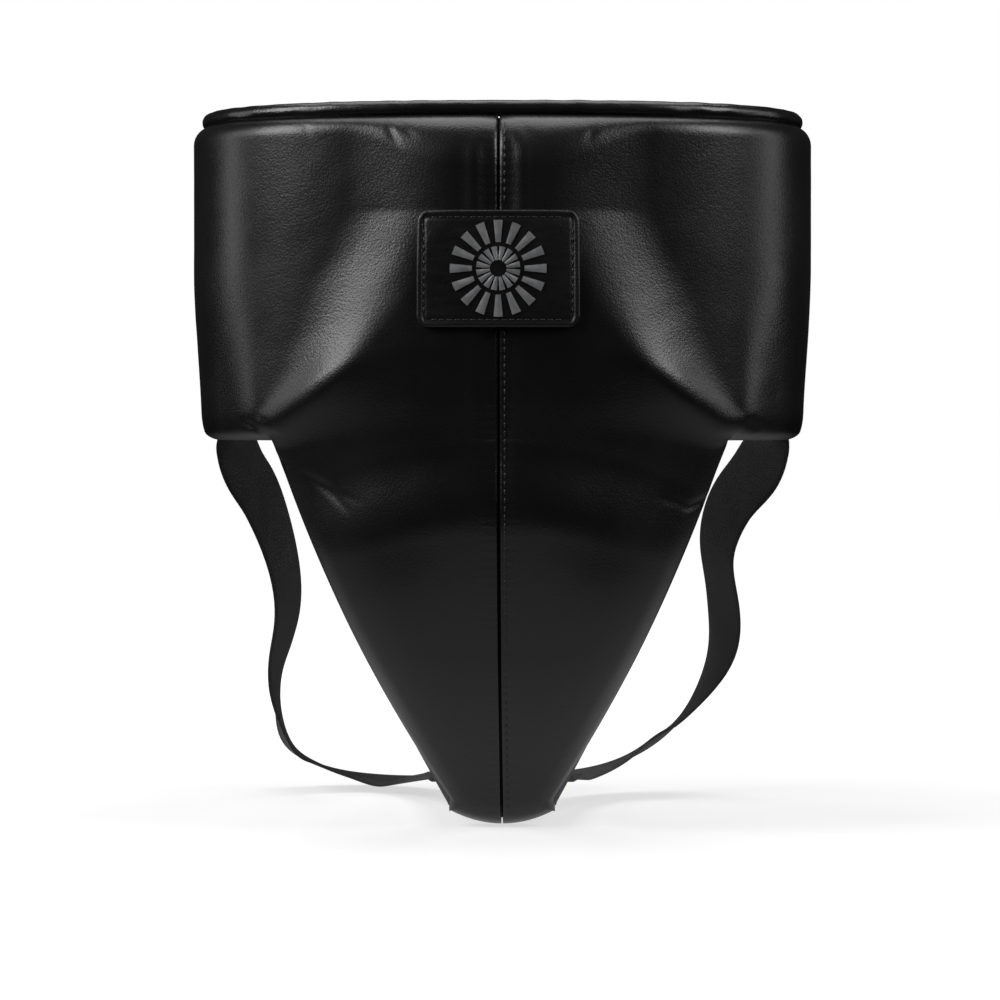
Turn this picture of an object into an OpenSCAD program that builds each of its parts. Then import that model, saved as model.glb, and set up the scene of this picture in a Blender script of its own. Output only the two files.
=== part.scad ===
// Padded groin protector: leather shell, rigid cup, elastic waist belt and two leg straps.
// Frame: +X is to the right as seen from the front, the front faces -Y, +Z is up.
// The origin is the centre of the waist opening, half way up the waist belt.

/* [Waist] */
// Half width of the waist opening, between the linings
waist_a = 140; // [120:1:170]
// Half depth of the waist opening, front to back
waist_b = 90; // [80:1:110]
// Squareness of the waist's outline: 2 is an ellipse, and more is flatter in front and behind
waist_n = 2.5; // [2.2:0.1:2.8]
// Angle round the waist from the front centre to the rear end of each flap
flap_end_a = 132; // [122:1:136]

/* [Shell outline] */
// Height of the flaps at the sides
flap_h = 157; // [130:1:190]
// Height of the flaps' top edge above the middle of the belt
flap_top_z = 78; // [66:1:95]
// Half width of the front at the notches under the flaps
notch_x = 108; // [90:1:120]
// Drop of the cup's tip below the flaps' lower edge
cup_drop = 194; // [165:1:230]
// Half width of the cup's blunt tip
tip_x = 26.5; // [22:0.5:32]
// Outward bow of the cup's side edges
side_bow = 5.5; // [2:0.5:8]
// How far the tip's bottom edge rises from its middle to its corners
tip_arc = 7.5; // [3:0.5:9]
// How far back the tip leans from the waist's front
tip_back = 85; // [70:1:100]

/* [Padding] */
// Thickness of the flaps
flap_t = 16; // [13:0.5:20]
// Thickness of the belly pad
belly_t = 26; // [21:0.5:31]
// Thickness at the fold between belly and cup, at the sides
fold_t = 10; // [9:0.5:12]
// Thickness at the middle of that fold
fold_mid_t = 22; // [19:0.5:24]
// Greatest thickness of the padded cup
cup_t = 34; // [29:0.5:40]
// Thickness at the shell's edges
edge_t = 7.5; // [7:0.25:9]
// Depth of the hollow inside the cup
hollow_t = 18; // [14:0.5:20]

/* [Layers] */
// Thickness of the outer leather
skin_t = 1.5; // [1.2:0.1:2]
// Thickness of the lining cloth
lining_t = 1.2; // [0.8:0.1:1.4]
// Thickness of the rigid cup and of the cushion round its rim
cup_wall = 2.6; // [2:0.1:3]
// Play left between one layer and the next
gap = 0.3; // [0.2:0.05:0.4]
// Width of the sunken tape under the centre seam
seam_w = 2.4; // [1.6:0.2:4]

/* [Top binding] */
// Outer diameter of the rolled leather binding
roll_d = 8.4; // [7:0.2:10]
// Diameter of the cord inside it
cord_d = 5.6; // [4.4:0.2:6.4]

/* [Label] */
// Width of the label patch
label_w = 78; // [60:1:84]
// Height of the label patch
label_h = 56; // [44:1:62]
// Height of the label's centre above the flaps' lower edge
label_z = 82; // [76:1:90]
// Corner radius of the label patch
label_r = 6; // [4:0.5:9]
// Thickness of the label patch
label_t = 2; // [1.6:0.1:2.4]

/* [Belt] */
// Height of the elastic waist belt
belt_h = 100; // [80:1:120]
// Thickness of the elastic waist belt
belt_t = 2.4; // [1.8:0.1:3]
// Thickness of the hook and of the loop tape
tape_t = 1.4; // [1:0.1:1.8]
// Angle round the waist covered by the hook tab
tab_a = 26; // [20:1:28]

/* [Leg straps] */
// Width of the leg strap webbing
strap_w = 38; // [30:1:40]
// Thickness of the leg strap webbing
strap_t = 1.8; // [1.4:0.1:2.2]
// Angle round the waist from the front centre to each strap's root
strap_a = 101.5; // [98:0.5:106]

/* [Hidden] */

flap_z = flap_top_z - flap_h;      // height of the flaps' lower edge
lean_from = 20;                    // the shell leans back below this height over the flaps' lower edge
lean_power = 1.6;                  // how the lean grows towards the tip
ridge_low = 12;                    // half width of the belly pad's side slopes, at the notches
ridge_high = 25;                   // and higher up
seam_dip = .12;                    // share of the cup's thickness that the centre seam pulls in
round_top = 9;                     // rounding of the flaps' top edge
round_side = 13;                   // rounding of the other edges
hollow_x = 54;                     // half width of the hollow inside the cup
hollow_h = 72;                     // half height of the hollow inside the cup
hollow_c = -88;                    // height of the hollow's centre over the flaps' lower edge
tape_deep = 0.9;                   // depth of the seam tape below the leather's face
facet_gap = 0.5;                   // play where a flat-faced piece lies on a curved one
bar_gap = 1;                       // play between the roots' thread bars and the lining's flat facets
thread_w = 0.9;                    // width of a stitch
thread_t = 0.5;                    // height of a stitch over the leather
stitch_l = 3;                      // length of a stitch
stitch_lift = 0.2;                 // play under a stitch
stitch_pitch = 4.2;                // distance from one stitch to the next

// Grid lines shared by every layer, so that the layers' facets stay parallel.
flap_rows = [0, .025, .06, .11, .18, .27, .37, .47, .57, .66, .74, .81, .87, .925, .975, 1];
cup_rows = [.035, .09, .16, .24, .33, .43, .53, .63, .73, .82, .895, .95, .98, 1];
front_cols = [.12, .25, .38, .51, .64, .76, .87, .955, 1];
flap_cols = [.06, .15, .26, .38, .5, .62, .74, .85, .95, 1];
K = len(flap_rows) - 1;            // row of the flaps' lower edge
R = K + len(cup_rows);             // last row, at the tip
N = len(front_cols);               // column of the notch
C = N + len(flap_cols);            // last column, at the flap's rear end

// Plain helpers
function clamp01(v) = min(1, max(0, v));
function ease(a, b, v) = let (t = clamp01((v - a) / (b - a))) t * t * (3 - 2 * t);
function mix(a, b, t) = a + (b - a) * t;
function bulge(e, r) = let (t = clamp01(e / r)) sqrt(1 - (1 - t) * (1 - t));
function unit(v) = v / norm(v);

// Half width of the cup at a height h over the flaps' lower edge, measured on the lining
function cup_x(h) =
    let (t = clamp01(-h / (cup_drop - tip_arc)))
    mix(notch_x, tip_x, t) + side_bow * sin(180 * t);

// How far the shell leans back at a height h
function lean(h) =
    h >= lean_from ? 0 : tip_back * pow((lean_from - h) / (lean_from + cup_drop), lean_power);

// A sine or cosine turned into a place on the squarish outline of the waist
function squared(v) = sign(v) * pow(abs(v), 2 / waist_n);

// Distance along the lining from the front centre, counted in x and carried on past the side
function along(a) = waist_a * (a <= 90 ? squared(sin(a)) : 2 - squared(sin(a)));

// Outward direction of the waist's outline at an angle
function outward(a) =
    let (p = 2 - 2 / waist_n, s = sin(a), c = cos(a))
    unit([sign(s) * pow(abs(s), p) / waist_a, -sign(c) * pow(abs(c), p) / waist_b]);

// Half width of the raised belly pad, which spreads downwards to the notches
function belly_x(h) = notch_x - (notch_x - 45) * pow(clamp01((h - 5) / (flap_h - 52)), .7);

// Distance from a point of the shell to its nearest free edge
function edge_gap(g, h) =
    let (notch_gap = g < notch_x ? norm([notch_x - g, max(h, 0)]) : h)
    let (side_gap = h > 0 ? notch_gap : .9 * (cup_x(h) - g))
    let (rear_gap = along(flap_end_a) - g)
    let (tip_gap = h + cup_drop - tip_arc * pow(g / tip_x, 2) * ease(-cup_drop / 2, -cup_drop, h))
    min(side_gap, rear_gap, max(0, tip_gap));

// Full thickness of the padded shell at a point
function full_t(g, h) =
    let (soft = mix(ridge_low, ridge_high, ease(0, flap_h / 2, h)))
    let (belly = 1 - ease(belly_x(h) - soft, belly_x(h) + soft, g))
    let (low = 1 - ease(0, flap_h * .55, h))
    let (upper = mix(flap_t - 4 * low * ease(notch_x, notch_x + 20, g), belly_t, belly))
    let (arch = min(1, pow(g / notch_x, 2)))
    let (drop = max(ease(4 - 12 * arch, 54 - 40 * arch, h), ease(notch_x - 8, notch_x + 10, g)))
    let (hull = sqrt(1 - pow(clamp01(g / cup_x(h)), 2.5)))
    let (taper = 1 - .72 * ease(-cup_drop * .54, -cup_drop, h))
    let (dip = 1 - seam_dip * exp(-pow(g / 22, 2)))
    let (cup = edge_t + (cup_t - edge_t) * hull * taper * dip)
    let (rise = ease(-32 * arch, -32 * arch - 45, h))
    let (fold = mix(fold_mid_t, fold_t, arch))
    let (t = fold + (upper - fold) * drop + (cup - fold) * rise)
    let (top = bulge(flap_h - h, round_top + 8 * belly))
    edge_t + (t - edge_t) * min(top, bulge(edge_gap(g, h), round_side));

// Depth of the hollow pressed into the lining inside the cup
function hollow(g, h) =
    let (q = pow(g / hollow_x, 2) + pow((h - hollow_c) / hollow_h, 2))
    q >= 1 ? 0 : hollow_t * pow(1 - q, 1.5);

// A point d outside the lining's plain surface, at angle a round the waist and height h
function wrap(a, h, d) =
    let (n = outward(a))
    [waist_a * squared(sin(a)) + n.x * d, lean(h) - waist_b * squared(cos(a)) + n.y * d, flap_z + h];

function angle_of(x) = asin(pow(min(1, x / waist_a), waist_n / 2));
notch_a = angle_of(notch_x);

// Height and angle of a grid node. Column 0 is at the seam, at x = x0; negative columns are on the left.
function row_h(r) =
    r <= K ? flap_h * (1 - flap_rows[r]) : -cup_drop * cup_rows[r - K - 1];
function col_u(c) = c == 0 ? 0 : front_cols[min(N, abs(c)) - 1];
function node_h(r, c) =
    r <= K ? row_h(r) : row_h(r) + tip_arc * pow(-row_h(r) / cup_drop, 3) * pow(col_u(c), 2);
function node_a(r, c, x0) =
    let (m = abs(c))
    let (a = m == 0 ? angle_of(x0)
        : m <= N ? angle_of(col_u(c) * cup_x(min(0, node_h(r, c))))
        : mix(notch_a, flap_end_a, flap_cols[m - N - 1]))
    c < 0 ? -a : a;

// A grid node that lies inset below the leather's face
function at_skin(r, c, x0, inset) =
    let (a = node_a(r, c, x0), h = node_h(r, c), g = along(abs(a)))
    wrap(a, h, full_t(g, h) - inset);

// A grid node that lies lift outside the lining's back, which dips into the hollow
function at_lining(r, c, x0, lift) =
    let (a = node_a(r, c, x0), h = node_h(r, c), g = along(abs(a)))
    wrap(a, h, hollow(g, h) + lift);

function is_edge(r, c) =
    r == 0 || r == R || abs(c) == C || (r == K && abs(c) >= N) || (abs(c) == N && r >= K);
function has_cell(r, c) = r < K ? true : (c >= -N && c < N);
function is_inner_cell(r, c) =
    has_cell(r, c) && !is_edge(r, c) && !is_edge(r + 1, c) && !is_edge(r, c + 1) && !is_edge(r + 1, c + 1);

// A closed layer between an outer and an inner grid, over the cells that cell(r, c) allows.
// Its triangles are mirrored on the negative columns, as the left half's are.
module layer(r0, r1, c0, c1, cell, outer, inner) {
    nc = c1 - c0 + 1;
    m = (r1 - r0 + 1) * nc;
    points = concat(
        [for (r = [r0:r1], c = [c0:c1]) outer(r, c)],
        [for (r = [r0:r1], c = [c0:c1]) inner(r, c)]
    );
    id = function(r, c) (r - r0) * nc + c - c0;
    open = function(r, c) r >= r0 && r < r1 && c >= c0 && c < c1 && cell(r, c);
    wall = function(p, q) [[p, q, q + m], [p, q + m, p + m]];
    faces = [
        for (r = [r0:r1 - 1], c = [c0:c1 - 1]) if (open(r, c))
        let (p = id(r, c), q = id(r, c + 1), s = id(r + 1, c + 1), t = id(r + 1, c))
        each concat(
            c < 0
                ? [[p, q, t], [q, s, t], [p + m, t + m, q + m], [q + m, t + m, s + m]]
                : [[p, q, s], [p, s, t], [p + m, s + m, q + m], [p + m, t + m, s + m]],
            open(r - 1, c) ? [] : wall(q, p),
            open(r + 1, c) ? [] : wall(t, s),
            open(r, c - 1) ? [] : wall(p, t),
            open(r, c + 1) ? [] : wall(s, q)
        )
    ];
    polyhedron(points = points, faces = faces, convexity = 12);
}

// A closed strip or tube: rings of points, each ring closed, with capped ends
module sweep(rings) {
    n = len(rings[0]);
    last = len(rings) - 1;
    faces = concat(
        [for (i = [0:last - 1], j = [0:n - 1])
            let (p = i * n + j, q = i * n + (j + 1) % n)
            each [[p, q, q + n], [p, q + n, p + n]]],
        [for (j = [1:n - 2]) [0, j + 1, j]],
        [for (j = [1:n - 2]) [last * n, last * n + j, last * n + j + 1]]
    );
    polyhedron(points = [for (ring = rings) each ring], faces = faces, convexity = 8);
}

// A tube with a bore: two lists of rings with the same number of points
module bored_tube(outer, inner) {
    n = len(outer[0]);
    last = len(outer) - 1;
    m = n * (last + 1);
    faces = [
        for (j = [0:n - 1])
        let (k = (j + 1) % n, a = last * n + j, b = last * n + k)
        each concat(
            [for (i = [0:last - 1])
                let (p = i * n + j, q = i * n + k)
                each [[p, q, q + n], [p, q + n, p + n], [p + m, q + n + m, q + m], [p + m, p + n + m, q + n + m]]],
            [[j, k + m, k], [j, j + m, k + m], [a, b, b + m], [a, b + m, a + m]]
        )
    ];
    polyhedron(points = concat([for (r = outer) each r], [for (r = inner) each r]), faces = faces, convexity = 12);
}

// A small box that follows the shell: angles a0..a1, heights h0..h1, depths d0..d1 over the skin
module chip(a0, a1, h0, h1, d0, d1) {
    on = function(a, h, d) wrap(a, h, full_t(along(abs(a)), h) + d);
    layer(0, 1, 0, 1, function(r, c) true,
        function(r, c) on(c == 0 ? a0 : a1, r == 0 ? h1 : h0, d1),
        function(r, c) on(c == 0 ? a0 : a1, r == 0 ? h1 : h0, d0));
}

module mirrored() mirror([1, 0, 0]) children();

// ---- Leather outer shell ----

// One half of the outer leather, from the centre seam round to the flap's rear end.
// Its free edges are turned in as far as the lining.
module outer_panel() {
    x0 = seam_w / 2 + gap / 2;
    layer(0, R, 0, C, function(r, c) has_cell(r, c),
        function(r, c) at_skin(r, c, x0, 0),
        function(r, c) is_edge(r, c) ? at_lining(r, c, x0, lining_t + gap) : at_skin(r, c, x0, skin_t));
}

module right_outer_panel() color("#17181a") outer_panel();
module left_outer_panel() color("#17181a") mirrored() outer_panel();

// Sunken tape that backs the seam between the two panels
module seam_tape() {
    a1 = angle_of(seam_w / 2);
    color("#0d0d0e")
    layer(1, R - 1, 0, 1, function(r, c) true,
        function(r, c) wrap(c == 0 ? -a1 : a1, row_h(r), full_t(0, row_h(r)) - tape_deep),
        function(r, c) wrap(c == 0 ? -a1 : a1, row_h(r), full_t(0, row_h(r)) - tape_deep - skin_t));
}

// A point of the right panel's face beside the seam: x from the seam's middle, height h, d over the face
function beside_seam(x, h, d) =
    let (x0 = seam_w / 2 + gap / 2, r = max([for (k = [0:R - 1]) if (row_h(k) >= h) k]))
    let (across = function(k)
        let (p = at_skin(k, 0, x0, -d), q = at_skin(k, 1, x0, -d))
        mix(p, q, (x - p.x) / (q.x - p.x)))
    mix(across(r), across(r + 1), (row_h(r) - h) / (row_h(r) - row_h(r + 1)));

// Row of stitches down the right side of the centre seam
module seam_stitching() {
    x = seam_w / 2 + 1.4;
    first = -cup_drop + 10;
    count = floor((flap_h - 8 - first) / stitch_pitch);
    under_label = label_h / 2 + 3;
    color("#2c2d2f")
    for (i = [0:count - 1]) {
        h = first + i * stitch_pitch;
        if (abs(h + stitch_l / 2 - label_z) > under_label)
            layer(0, 1, 0, 1, function(r, c) true,
                function(r, c) beside_seam(x + (c - .5) * thread_w, h + (1 - r) * stitch_l, thread_t),
                function(r, c) beside_seam(x + (c - .5) * thread_w, h + (1 - r) * stitch_l, stitch_lift));
    }
}

// ---- Rolled binding along the top edge ----

roll_h = flap_h + roll_d / 2 + 0.1;
roll_depth = edge_t + 1;
roll_steps = 44;

function roll_ring(i, r, sides) =
    let (a = mix(-flap_end_a, flap_end_a, i / roll_steps))
    let (mid = wrap(a, roll_h, roll_depth), n = [outward(a).x, outward(a).y, 0])
    [for (k = [0:sides - 1])
        let (b = 360 * k / sides)
        mid + n * r * cos(b) + [0, 0, r * sin(b)]];

module top_cord_core() {
    color("#d8d2c4")
    sweep([for (i = [0:roll_steps]) roll_ring(i, cord_d / 2, 8)]);
}

// Leather wrapped round the cord: a tube whose bore clears the cord
module top_binding() {
    sides = 12;
    bore = (cord_d / 2 + gap / 2) / cos(180 / sides);
    color("#1b1c1e")
    bored_tube(
        [for (i = [0:roll_steps]) roll_ring(i, roll_d / 2, sides)],
        [for (i = [0:roll_steps]) roll_ring(i, bore, sides)]
    );
}

module binding_stitching() {
    pitch = 2.4;
    count = floor(2 * flap_end_a / pitch);
    color("#2c2d2f")
    for (i = [1:count - 2]) {
        a = -flap_end_a + i * pitch;
        chip(a, a + pitch * .68, flap_h - 1.9, flap_h - 1, 0.02, thread_t);
    }
}

// ---- Label patch on the belly ----

// Half width of the rounded label at a height v over its centre
function label_x(v, inset) =
    let (r = label_r - inset, top = label_h / 2 - inset)
    let (over = max(0, abs(v) - (top - r)))
    label_w / 2 - inset - r + sqrt(max(0, r * r - over * over));

// A point over the label's place: x across, v up from its centre, d over the leather below
function on_label(x, v, d) =
    let (h = label_z + v, side = sign(x), spread = outward(angle_of(abs(x))).x)
    let (a = side * angle_of(abs(x) - spread * belly_t))
    wrap(a, h, full_t(along(abs(a)), h) + d);

label_lines = [-1, -.985, -.93, -.86, -.7, -.4, 0, .4, .7, .86, .93, .985, 1];

module label_patch() {
    top = label_h / 2;
    last = len(label_lines) - 1;
    cols = 12;
    // the turned edge stands a little higher than the middle
    rim = function(x, v) max(ease(label_x(v, 0) - 3, label_x(v, 0) - 1, abs(x)), ease(top - 3, top - 1, abs(v)));
    spot = function(r, c) let (v = -top * label_lines[r]) [mix(-1, 1, c / cols) * label_x(v, 0), v];
    color("#141517")
    layer(0, last, 0, cols, function(r, c) true,
        function(r, c) let (p = spot(r, c)) on_label(p.x, p.y, label_t + gap + .5 * rim(p.x, p.y)),
        function(r, c) let (p = spot(r, c)) on_label(p.x, p.y, gap));
}

// Raised badge: a plain rosette of long and short rays
module label_badge() {
    rays = 16;
    step = 360 / rays;
    rest = label_t + gap + .55;
    ray = function(a, i, r0, r1, half) let (r = i == 0 ? r0 : r1) [r * cos(a + half), r * sin(a + half)];
    color("#b9bcc0")
    for (k = [0:rays - 1]) {
        a = k * step;
        for (band = [[12.5, 23, 5.5, 0], [4, 10.5, 8, step / 2]])
            layer(0, 1, 0, 1, function(r, c) true,
                function(r, c) let (p = ray(a + band[3], r, band[0], band[1], c == 0 ? -band[2] : band[2]))
                    on_label(p.x, p.y, rest + .4),
                function(r, c) let (p = ray(a + band[3], r, band[0], band[1], c == 0 ? -band[2] : band[2]))
                    on_label(p.x, p.y, rest));
    }
}

// Stitches that hold the label down, in one row round it
module label_stitching() {
    inset = 3.6;
    x = label_w / 2 - inset;
    y = label_h / 2 - inset;
    nx = floor(2 * (x - label_r) / stitch_pitch);
    ny = floor(2 * (y - label_r) / stitch_pitch);
    rest = label_t + gap + .52;
    color("#2c2d2f")
    for (side = [-1, 1]) {
        for (i = [0:nx]) {
            x0 = (i - nx / 2) * stitch_pitch - stitch_l / 2;
            layer(0, 1, 0, 1, function(r, c) true,
                function(r, c) on_label(x0 + c * stitch_l, side * y + (.5 - r) * thread_w, rest + thread_t),
                function(r, c) on_label(x0 + c * stitch_l, side * y + (.5 - r) * thread_w, rest));
        }
        for (i = [0:ny]) {
            y0 = (i - ny / 2) * stitch_pitch + stitch_l / 2;
            layer(0, 1, 0, 1, function(r, c) true,
                function(r, c) on_label(side * x + (c - .5) * thread_w, y0 - r * stitch_l, rest + thread_t),
                function(r, c) on_label(side * x + (c - .5) * thread_w, y0 - r * stitch_l, rest));
        }
    }
}

// ---- Padding and rigid cup ----

deep_pad = lining_t + gap + cup_wall + gap;   // depth at which the foam starts, over the lining

module foam(r0, r1, c0, c1) {
    layer(r0, r1, c0, c1, function(r, c) is_inner_cell(r, c),
        function(r, c) at_skin(r, c, 0, skin_t + gap + (c == 0 ? tape_deep : 0)),
        function(r, c) at_lining(r, c, 0, deep_pad));
}

module belly_pad() color("#8a8f94") foam(0, K, -N, N);
module right_flap_pad() color("#8a8f94") foam(0, K, N, C);
module left_flap_pad() color("#8a8f94") mirrored() foam(0, K, N, C);
module cup_pad() color("#8a8f94") foam(K, R, -N, N);

cup_r0 = K + 3;      // first and last row and last column of the rigid cup
cup_r1 = R - 3;
cup_c = N - 2;
function in_cup(r, c) = r >= cup_r0 && r < cup_r1 && c >= -cup_c && c < cup_c;

// Rigid protective cup, the shape of a shield, with the hollow pressed into it
module hard_cup() {
    color("#d9d9d4")
    layer(cup_r0, cup_r1, -cup_c, cup_c, function(r, c) true,
        function(r, c) at_lining(r, c, 0, lining_t + gap + cup_wall),
        function(r, c) at_lining(r, c, 0, lining_t + gap));
}

// Soft cushion that rings the rigid cup's rim
module cup_rim_cushion() {
    color("#5e6266")
    layer(K, R, -N, N, function(r, c) is_inner_cell(r, c) && !in_cup(r, c),
        function(r, c) at_lining(r, c, 0, lining_t + gap + cup_wall),
        function(r, c) at_lining(r, c, 0, lining_t + gap));
}

// ---- Lining ----

module lining(r0, r1, c0, c1) {
    layer(r0, r1, c0, c1, function(r, c) has_cell(r, c),
        function(r, c) at_lining(r, c, 0, lining_t),
        function(r, c) at_lining(r, c, 0, 0));
}

module front_lining() color("#26272a") lining(0, R, -N, N);
module right_flap_lining() color("#26272a") lining(0, K, N, C);
module left_flap_lining() color("#26272a") mirrored() lining(0, K, N, C);

// ---- Leg straps ----

root_d = lining_t + gap;                      // depth of the strap's sewn root, over the lining
root_r = norm(wrap(strap_a + 1, 0, 0) - wrap(strap_a - 1, 0, 0)) / 2 * 180 / PI;   // length of a radian there
root_half = strap_w / 2 / root_r * 180 / PI;   // half of the angle that the root covers
root_low = -1.5;                              // the root stands out of the flap's lower edge by this much
root_high = 34;
end_high = 54 - cup_drop;                     // heights between which the lower ends are sewn to the lining
end_low = 26 - cup_drop;

// Sewn root of a leg strap, between the flap's foam and its lining
module strap_root() {
    steps = 4;
    color("#202124")
    layer(0, 1, 0, steps, function(r, c) true,
        function(r, c) wrap(strap_a + root_half * (2 * c / steps - 1), r == 0 ? root_high : root_low, root_d + strap_t),
        function(r, c) wrap(strap_a + root_half * (2 * c / steps - 1), r == 0 ? root_high : root_low, root_d));
}

module strap_root_right() strap_root();
module strap_root_left() mirrored() strap_root();

// Thread bars sewn across both roots, seen on the lining side
module root_bartacks() {
    bar_half = .8 * root_half;
    bar_w = 2;
    color("#2c2d2f")
    for (side = [-1, 1], h = [8, 24])
        scale_x(side)
        layer(0, 1, 0, 4, function(r, c) true,
            function(r, c) wrap(strap_a + bar_half * (c / 2 - 1), h + (.5 - r) * bar_w, -bar_gap),
            function(r, c) wrap(strap_a + bar_half * (c / 2 - 1), h + (.5 - r) * bar_w, -bar_gap - thread_t));
}

module scale_x(side) {
    if (side > 0) children();
    else mirror([1, 0, 0]) children();
}

// Routes of the free straps: [x, y, z] of the middle, then the direction across the webbing.
// Both start just under the flap and end just behind the lining at the tip. They were laid out
// between root_laid and tip_laid, and a shell of another size carries them along with its own places.
root_laid = [140.1, 27.2, -79];
tip_laid = [19.6, -20.3, -247];
root_now = wrap(strap_a, 0, root_d + strap_t / 2);
tip_now = on_back(strap_w / 2 + .6, end_low, gap);
left_route = [
    [[-139.5, 26, -87.5], [.48, .87, 0]],
    [[-139.5, 26, -92.5], [.48, .87, 0]],
    [[-137, 29.5, -98.5], [.42, .9, 0]],
    [[-124, 52, -114], [.2, .98, 0]],
    [[-114, 85, -157], [.22, .97, 0]],
    [[-120, 106, -186], [.2, .98, 0]],
    [[-123, 119, -203], [.12, .99, 0]],
    [[-125, 130, -219], [-.04, 1, 0]],
    [[-122, 148, -245], [-.16, .98, -.1]],
    [[-112, 157, -256], [-.1, .98, -.12]],
    [[-96, 164, -264], [0, 1, -.1]],
    [[-77, 166, -268], [.1, 1, 0]],
    [[-56, 156, -269], [.55, .83, .05]],
    [[-40, 130, -267], [.92, .4, .05]],
    [[-28, 88, -266], [.98, .2, 0]],
    [[-24, 36, -264], [1, .1, 0]],
    [[-22, 2, -258], [1, 0, 0]],
    [[-21, -8, -250], [1, 0, 0]]
];
right_route = [
    [[139, 26, -87.5], [-.56, .83, 0]],
    [[139, 26, -92.5], [-.56, .83, 0]],
    [[135, 30, -98.5], [-.48, .88, 0]],
    [[117, 50, -113], [-.45, .89, 0]],
    [[110, 66, -135], [-.2, .98, 0]],
    [[115, 82, -157], [-.3, .95, 0]],
    [[117, 100, -179], [-.36, .93, 0]],
    [[113, 115, -199], [-.24, .97, 0]],
    [[105, 126, -216], [-.1, .99, 0]],
    [[95, 134, -231], [.06, 1, 0]],
    [[84, 137, -242], [.12, .98, -.12]],
    [[63, 130, -254], [0, .98, -.14]],
    [[41, 106, -262], [-.55, .83, -.08]],
    [[29, 72, -266], [-.9, .4, 0]],
    [[25, 32, -264], [-1, .1, 0]],
    [[22, 2, -258], [-1, 0, 0]],
    [[21, -8, -250], [-1, 0, 0]]
];

// Smooth curve through a list of values, n steps from one to the next
function curve(p, n) =
    let (last = len(p) - 1)
    concat([for (i = [0:last - 1], k = [0:n - 1])
        let (t = k / n, a = p[max(0, i - 1)], b = p[i], c = p[i + 1], d = p[min(last, i + 2)])
        b + .5 * t * (c - a + t * (2 * a - 5 * b + 4 * c - d + t * (3 * (b - c) + d - a)))], [p[last]]);

// A route's points, moved by as much as the root and the tip have moved from where it was laid out
function carried(route, side) =
    let (last = len(route) - 1, turn = function(v) [side * v.x, v.y, v.z])
    [for (i = [0:last]) route[i][0] + turn(mix(root_now - root_laid, tip_now - tip_laid, i / last))];

module webbing(route, side) {
    mids = curve(carried(route, side), 3);
    across = curve([for (p = route) p[1]], 3);
    last = len(mids) - 1;
    sweep([for (i = [0:last])
        let (t = unit(mids[min(last, i + 1)] - mids[max(0, i - 1)]))
        let (w = unit(across[i] - t * (across[i] * t)) * strap_w / 2)
        let (n = cross(t, unit(w)) * strap_t / 2)
        [mids[i] - w - n, mids[i] - w + n, mids[i] + w + n, mids[i] + w - n]]);
}

module leg_strap_left() color("#202124") webbing(left_route, -1);
module leg_strap_right() color("#202124") webbing(right_route, 1);

// Sewn lower ends, flat on the back of the lining above the tip
module strap_end() {
    steps = 4;
    color("#202124")
    layer(0, 2, 0, steps, function(r, c) true,
        function(r, c) on_back(.6 + strap_w * c / steps, mix(end_high, end_low, r / 2), facet_gap),
        function(r, c) on_back(.6 + strap_w * c / steps, mix(end_high, end_low, r / 2), facet_gap + strap_t));
}

// A point behind the lining: x across, h over the flaps' lower edge, d behind the lining's back
function on_back(x, h, d) = wrap(signed_angle(x), h, hollow(abs(x), h) - d);

module strap_end_right() strap_end();
module strap_end_left() mirrored() strap_end();

// Leather patch sewn over both lower ends
patch_d = facet_gap + strap_t + facet_gap;

module tip_patch() {
    half = strap_w + 1.5;
    color("#17181a")
    layer(0, 2, -4, 4, function(r, c) true,
        function(r, c) on_back(half * c / 4, mix(end_high + 3, end_low + 4, r / 2), patch_d),
        function(r, c) on_back(half * c / 4, mix(end_high + 3, end_low + 4, r / 2), patch_d + skin_t));
}

function signed_angle(x) = x < 0 ? -angle_of(-x) : angle_of(x);

module tip_stitching() {
    depth = patch_d + skin_t + facet_gap;
    count = 17;
    color("#2c2d2f")
    for (h = [end_high - .5, end_low + 7], i = [0:count - 1]) {
        x = (i - (count - 1) / 2) * stitch_pitch;
        layer(0, 1, 0, 1, function(r, c) true,
            function(r, c) on_back(x + (c - .5) * stitch_l, h + (.5 - r) * thread_w, depth),
            function(r, c) on_back(x + (c - .5) * stitch_l, h + (.5 - r) * thread_w, depth + thread_t));
    }
}

// ---- Waist belt, closed behind the right flap by hook and loop ----

belt_low = flap_h - flap_top_z - belt_h / 2;
belt_high = belt_low + belt_h;
belt_root_d = (edge_t - belt_t) / 2;
tab_d = flap_t + tape_t + gap + tape_t + gap;
belt_end_a = 360 - flap_end_a - 1.5;
tab_end_a = belt_end_a + tab_a;

// Depth of the belt's inner face over the lining: it leaves the left flap's end and passes outside the right one
function belt_d(a) = mix(belt_root_d, tab_d, ease(flap_end_a + 20, belt_end_a - 6, a));

// A band round the back. Angles count from the front over the left side, so x is turned round.
module band(a0, a1, h0, h1, depth, t, steps) {
    mirrored()
    layer(0, 1, 0, steps, function(r, c) true,
        function(r, c) let (a = mix(a0, a1, c / steps)) wrap(a, r == 0 ? h1 : h0, depth(a) + t),
        function(r, c) let (a = mix(a0, a1, c / steps)) wrap(a, r == 0 ? h1 : h0, depth(a)));
}

module waist_elastic() {
    color("#1e1f22")
    band(flap_end_a + .25, belt_end_a, belt_low, belt_high, function(a) belt_d(a), belt_t, 24);
}

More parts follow.
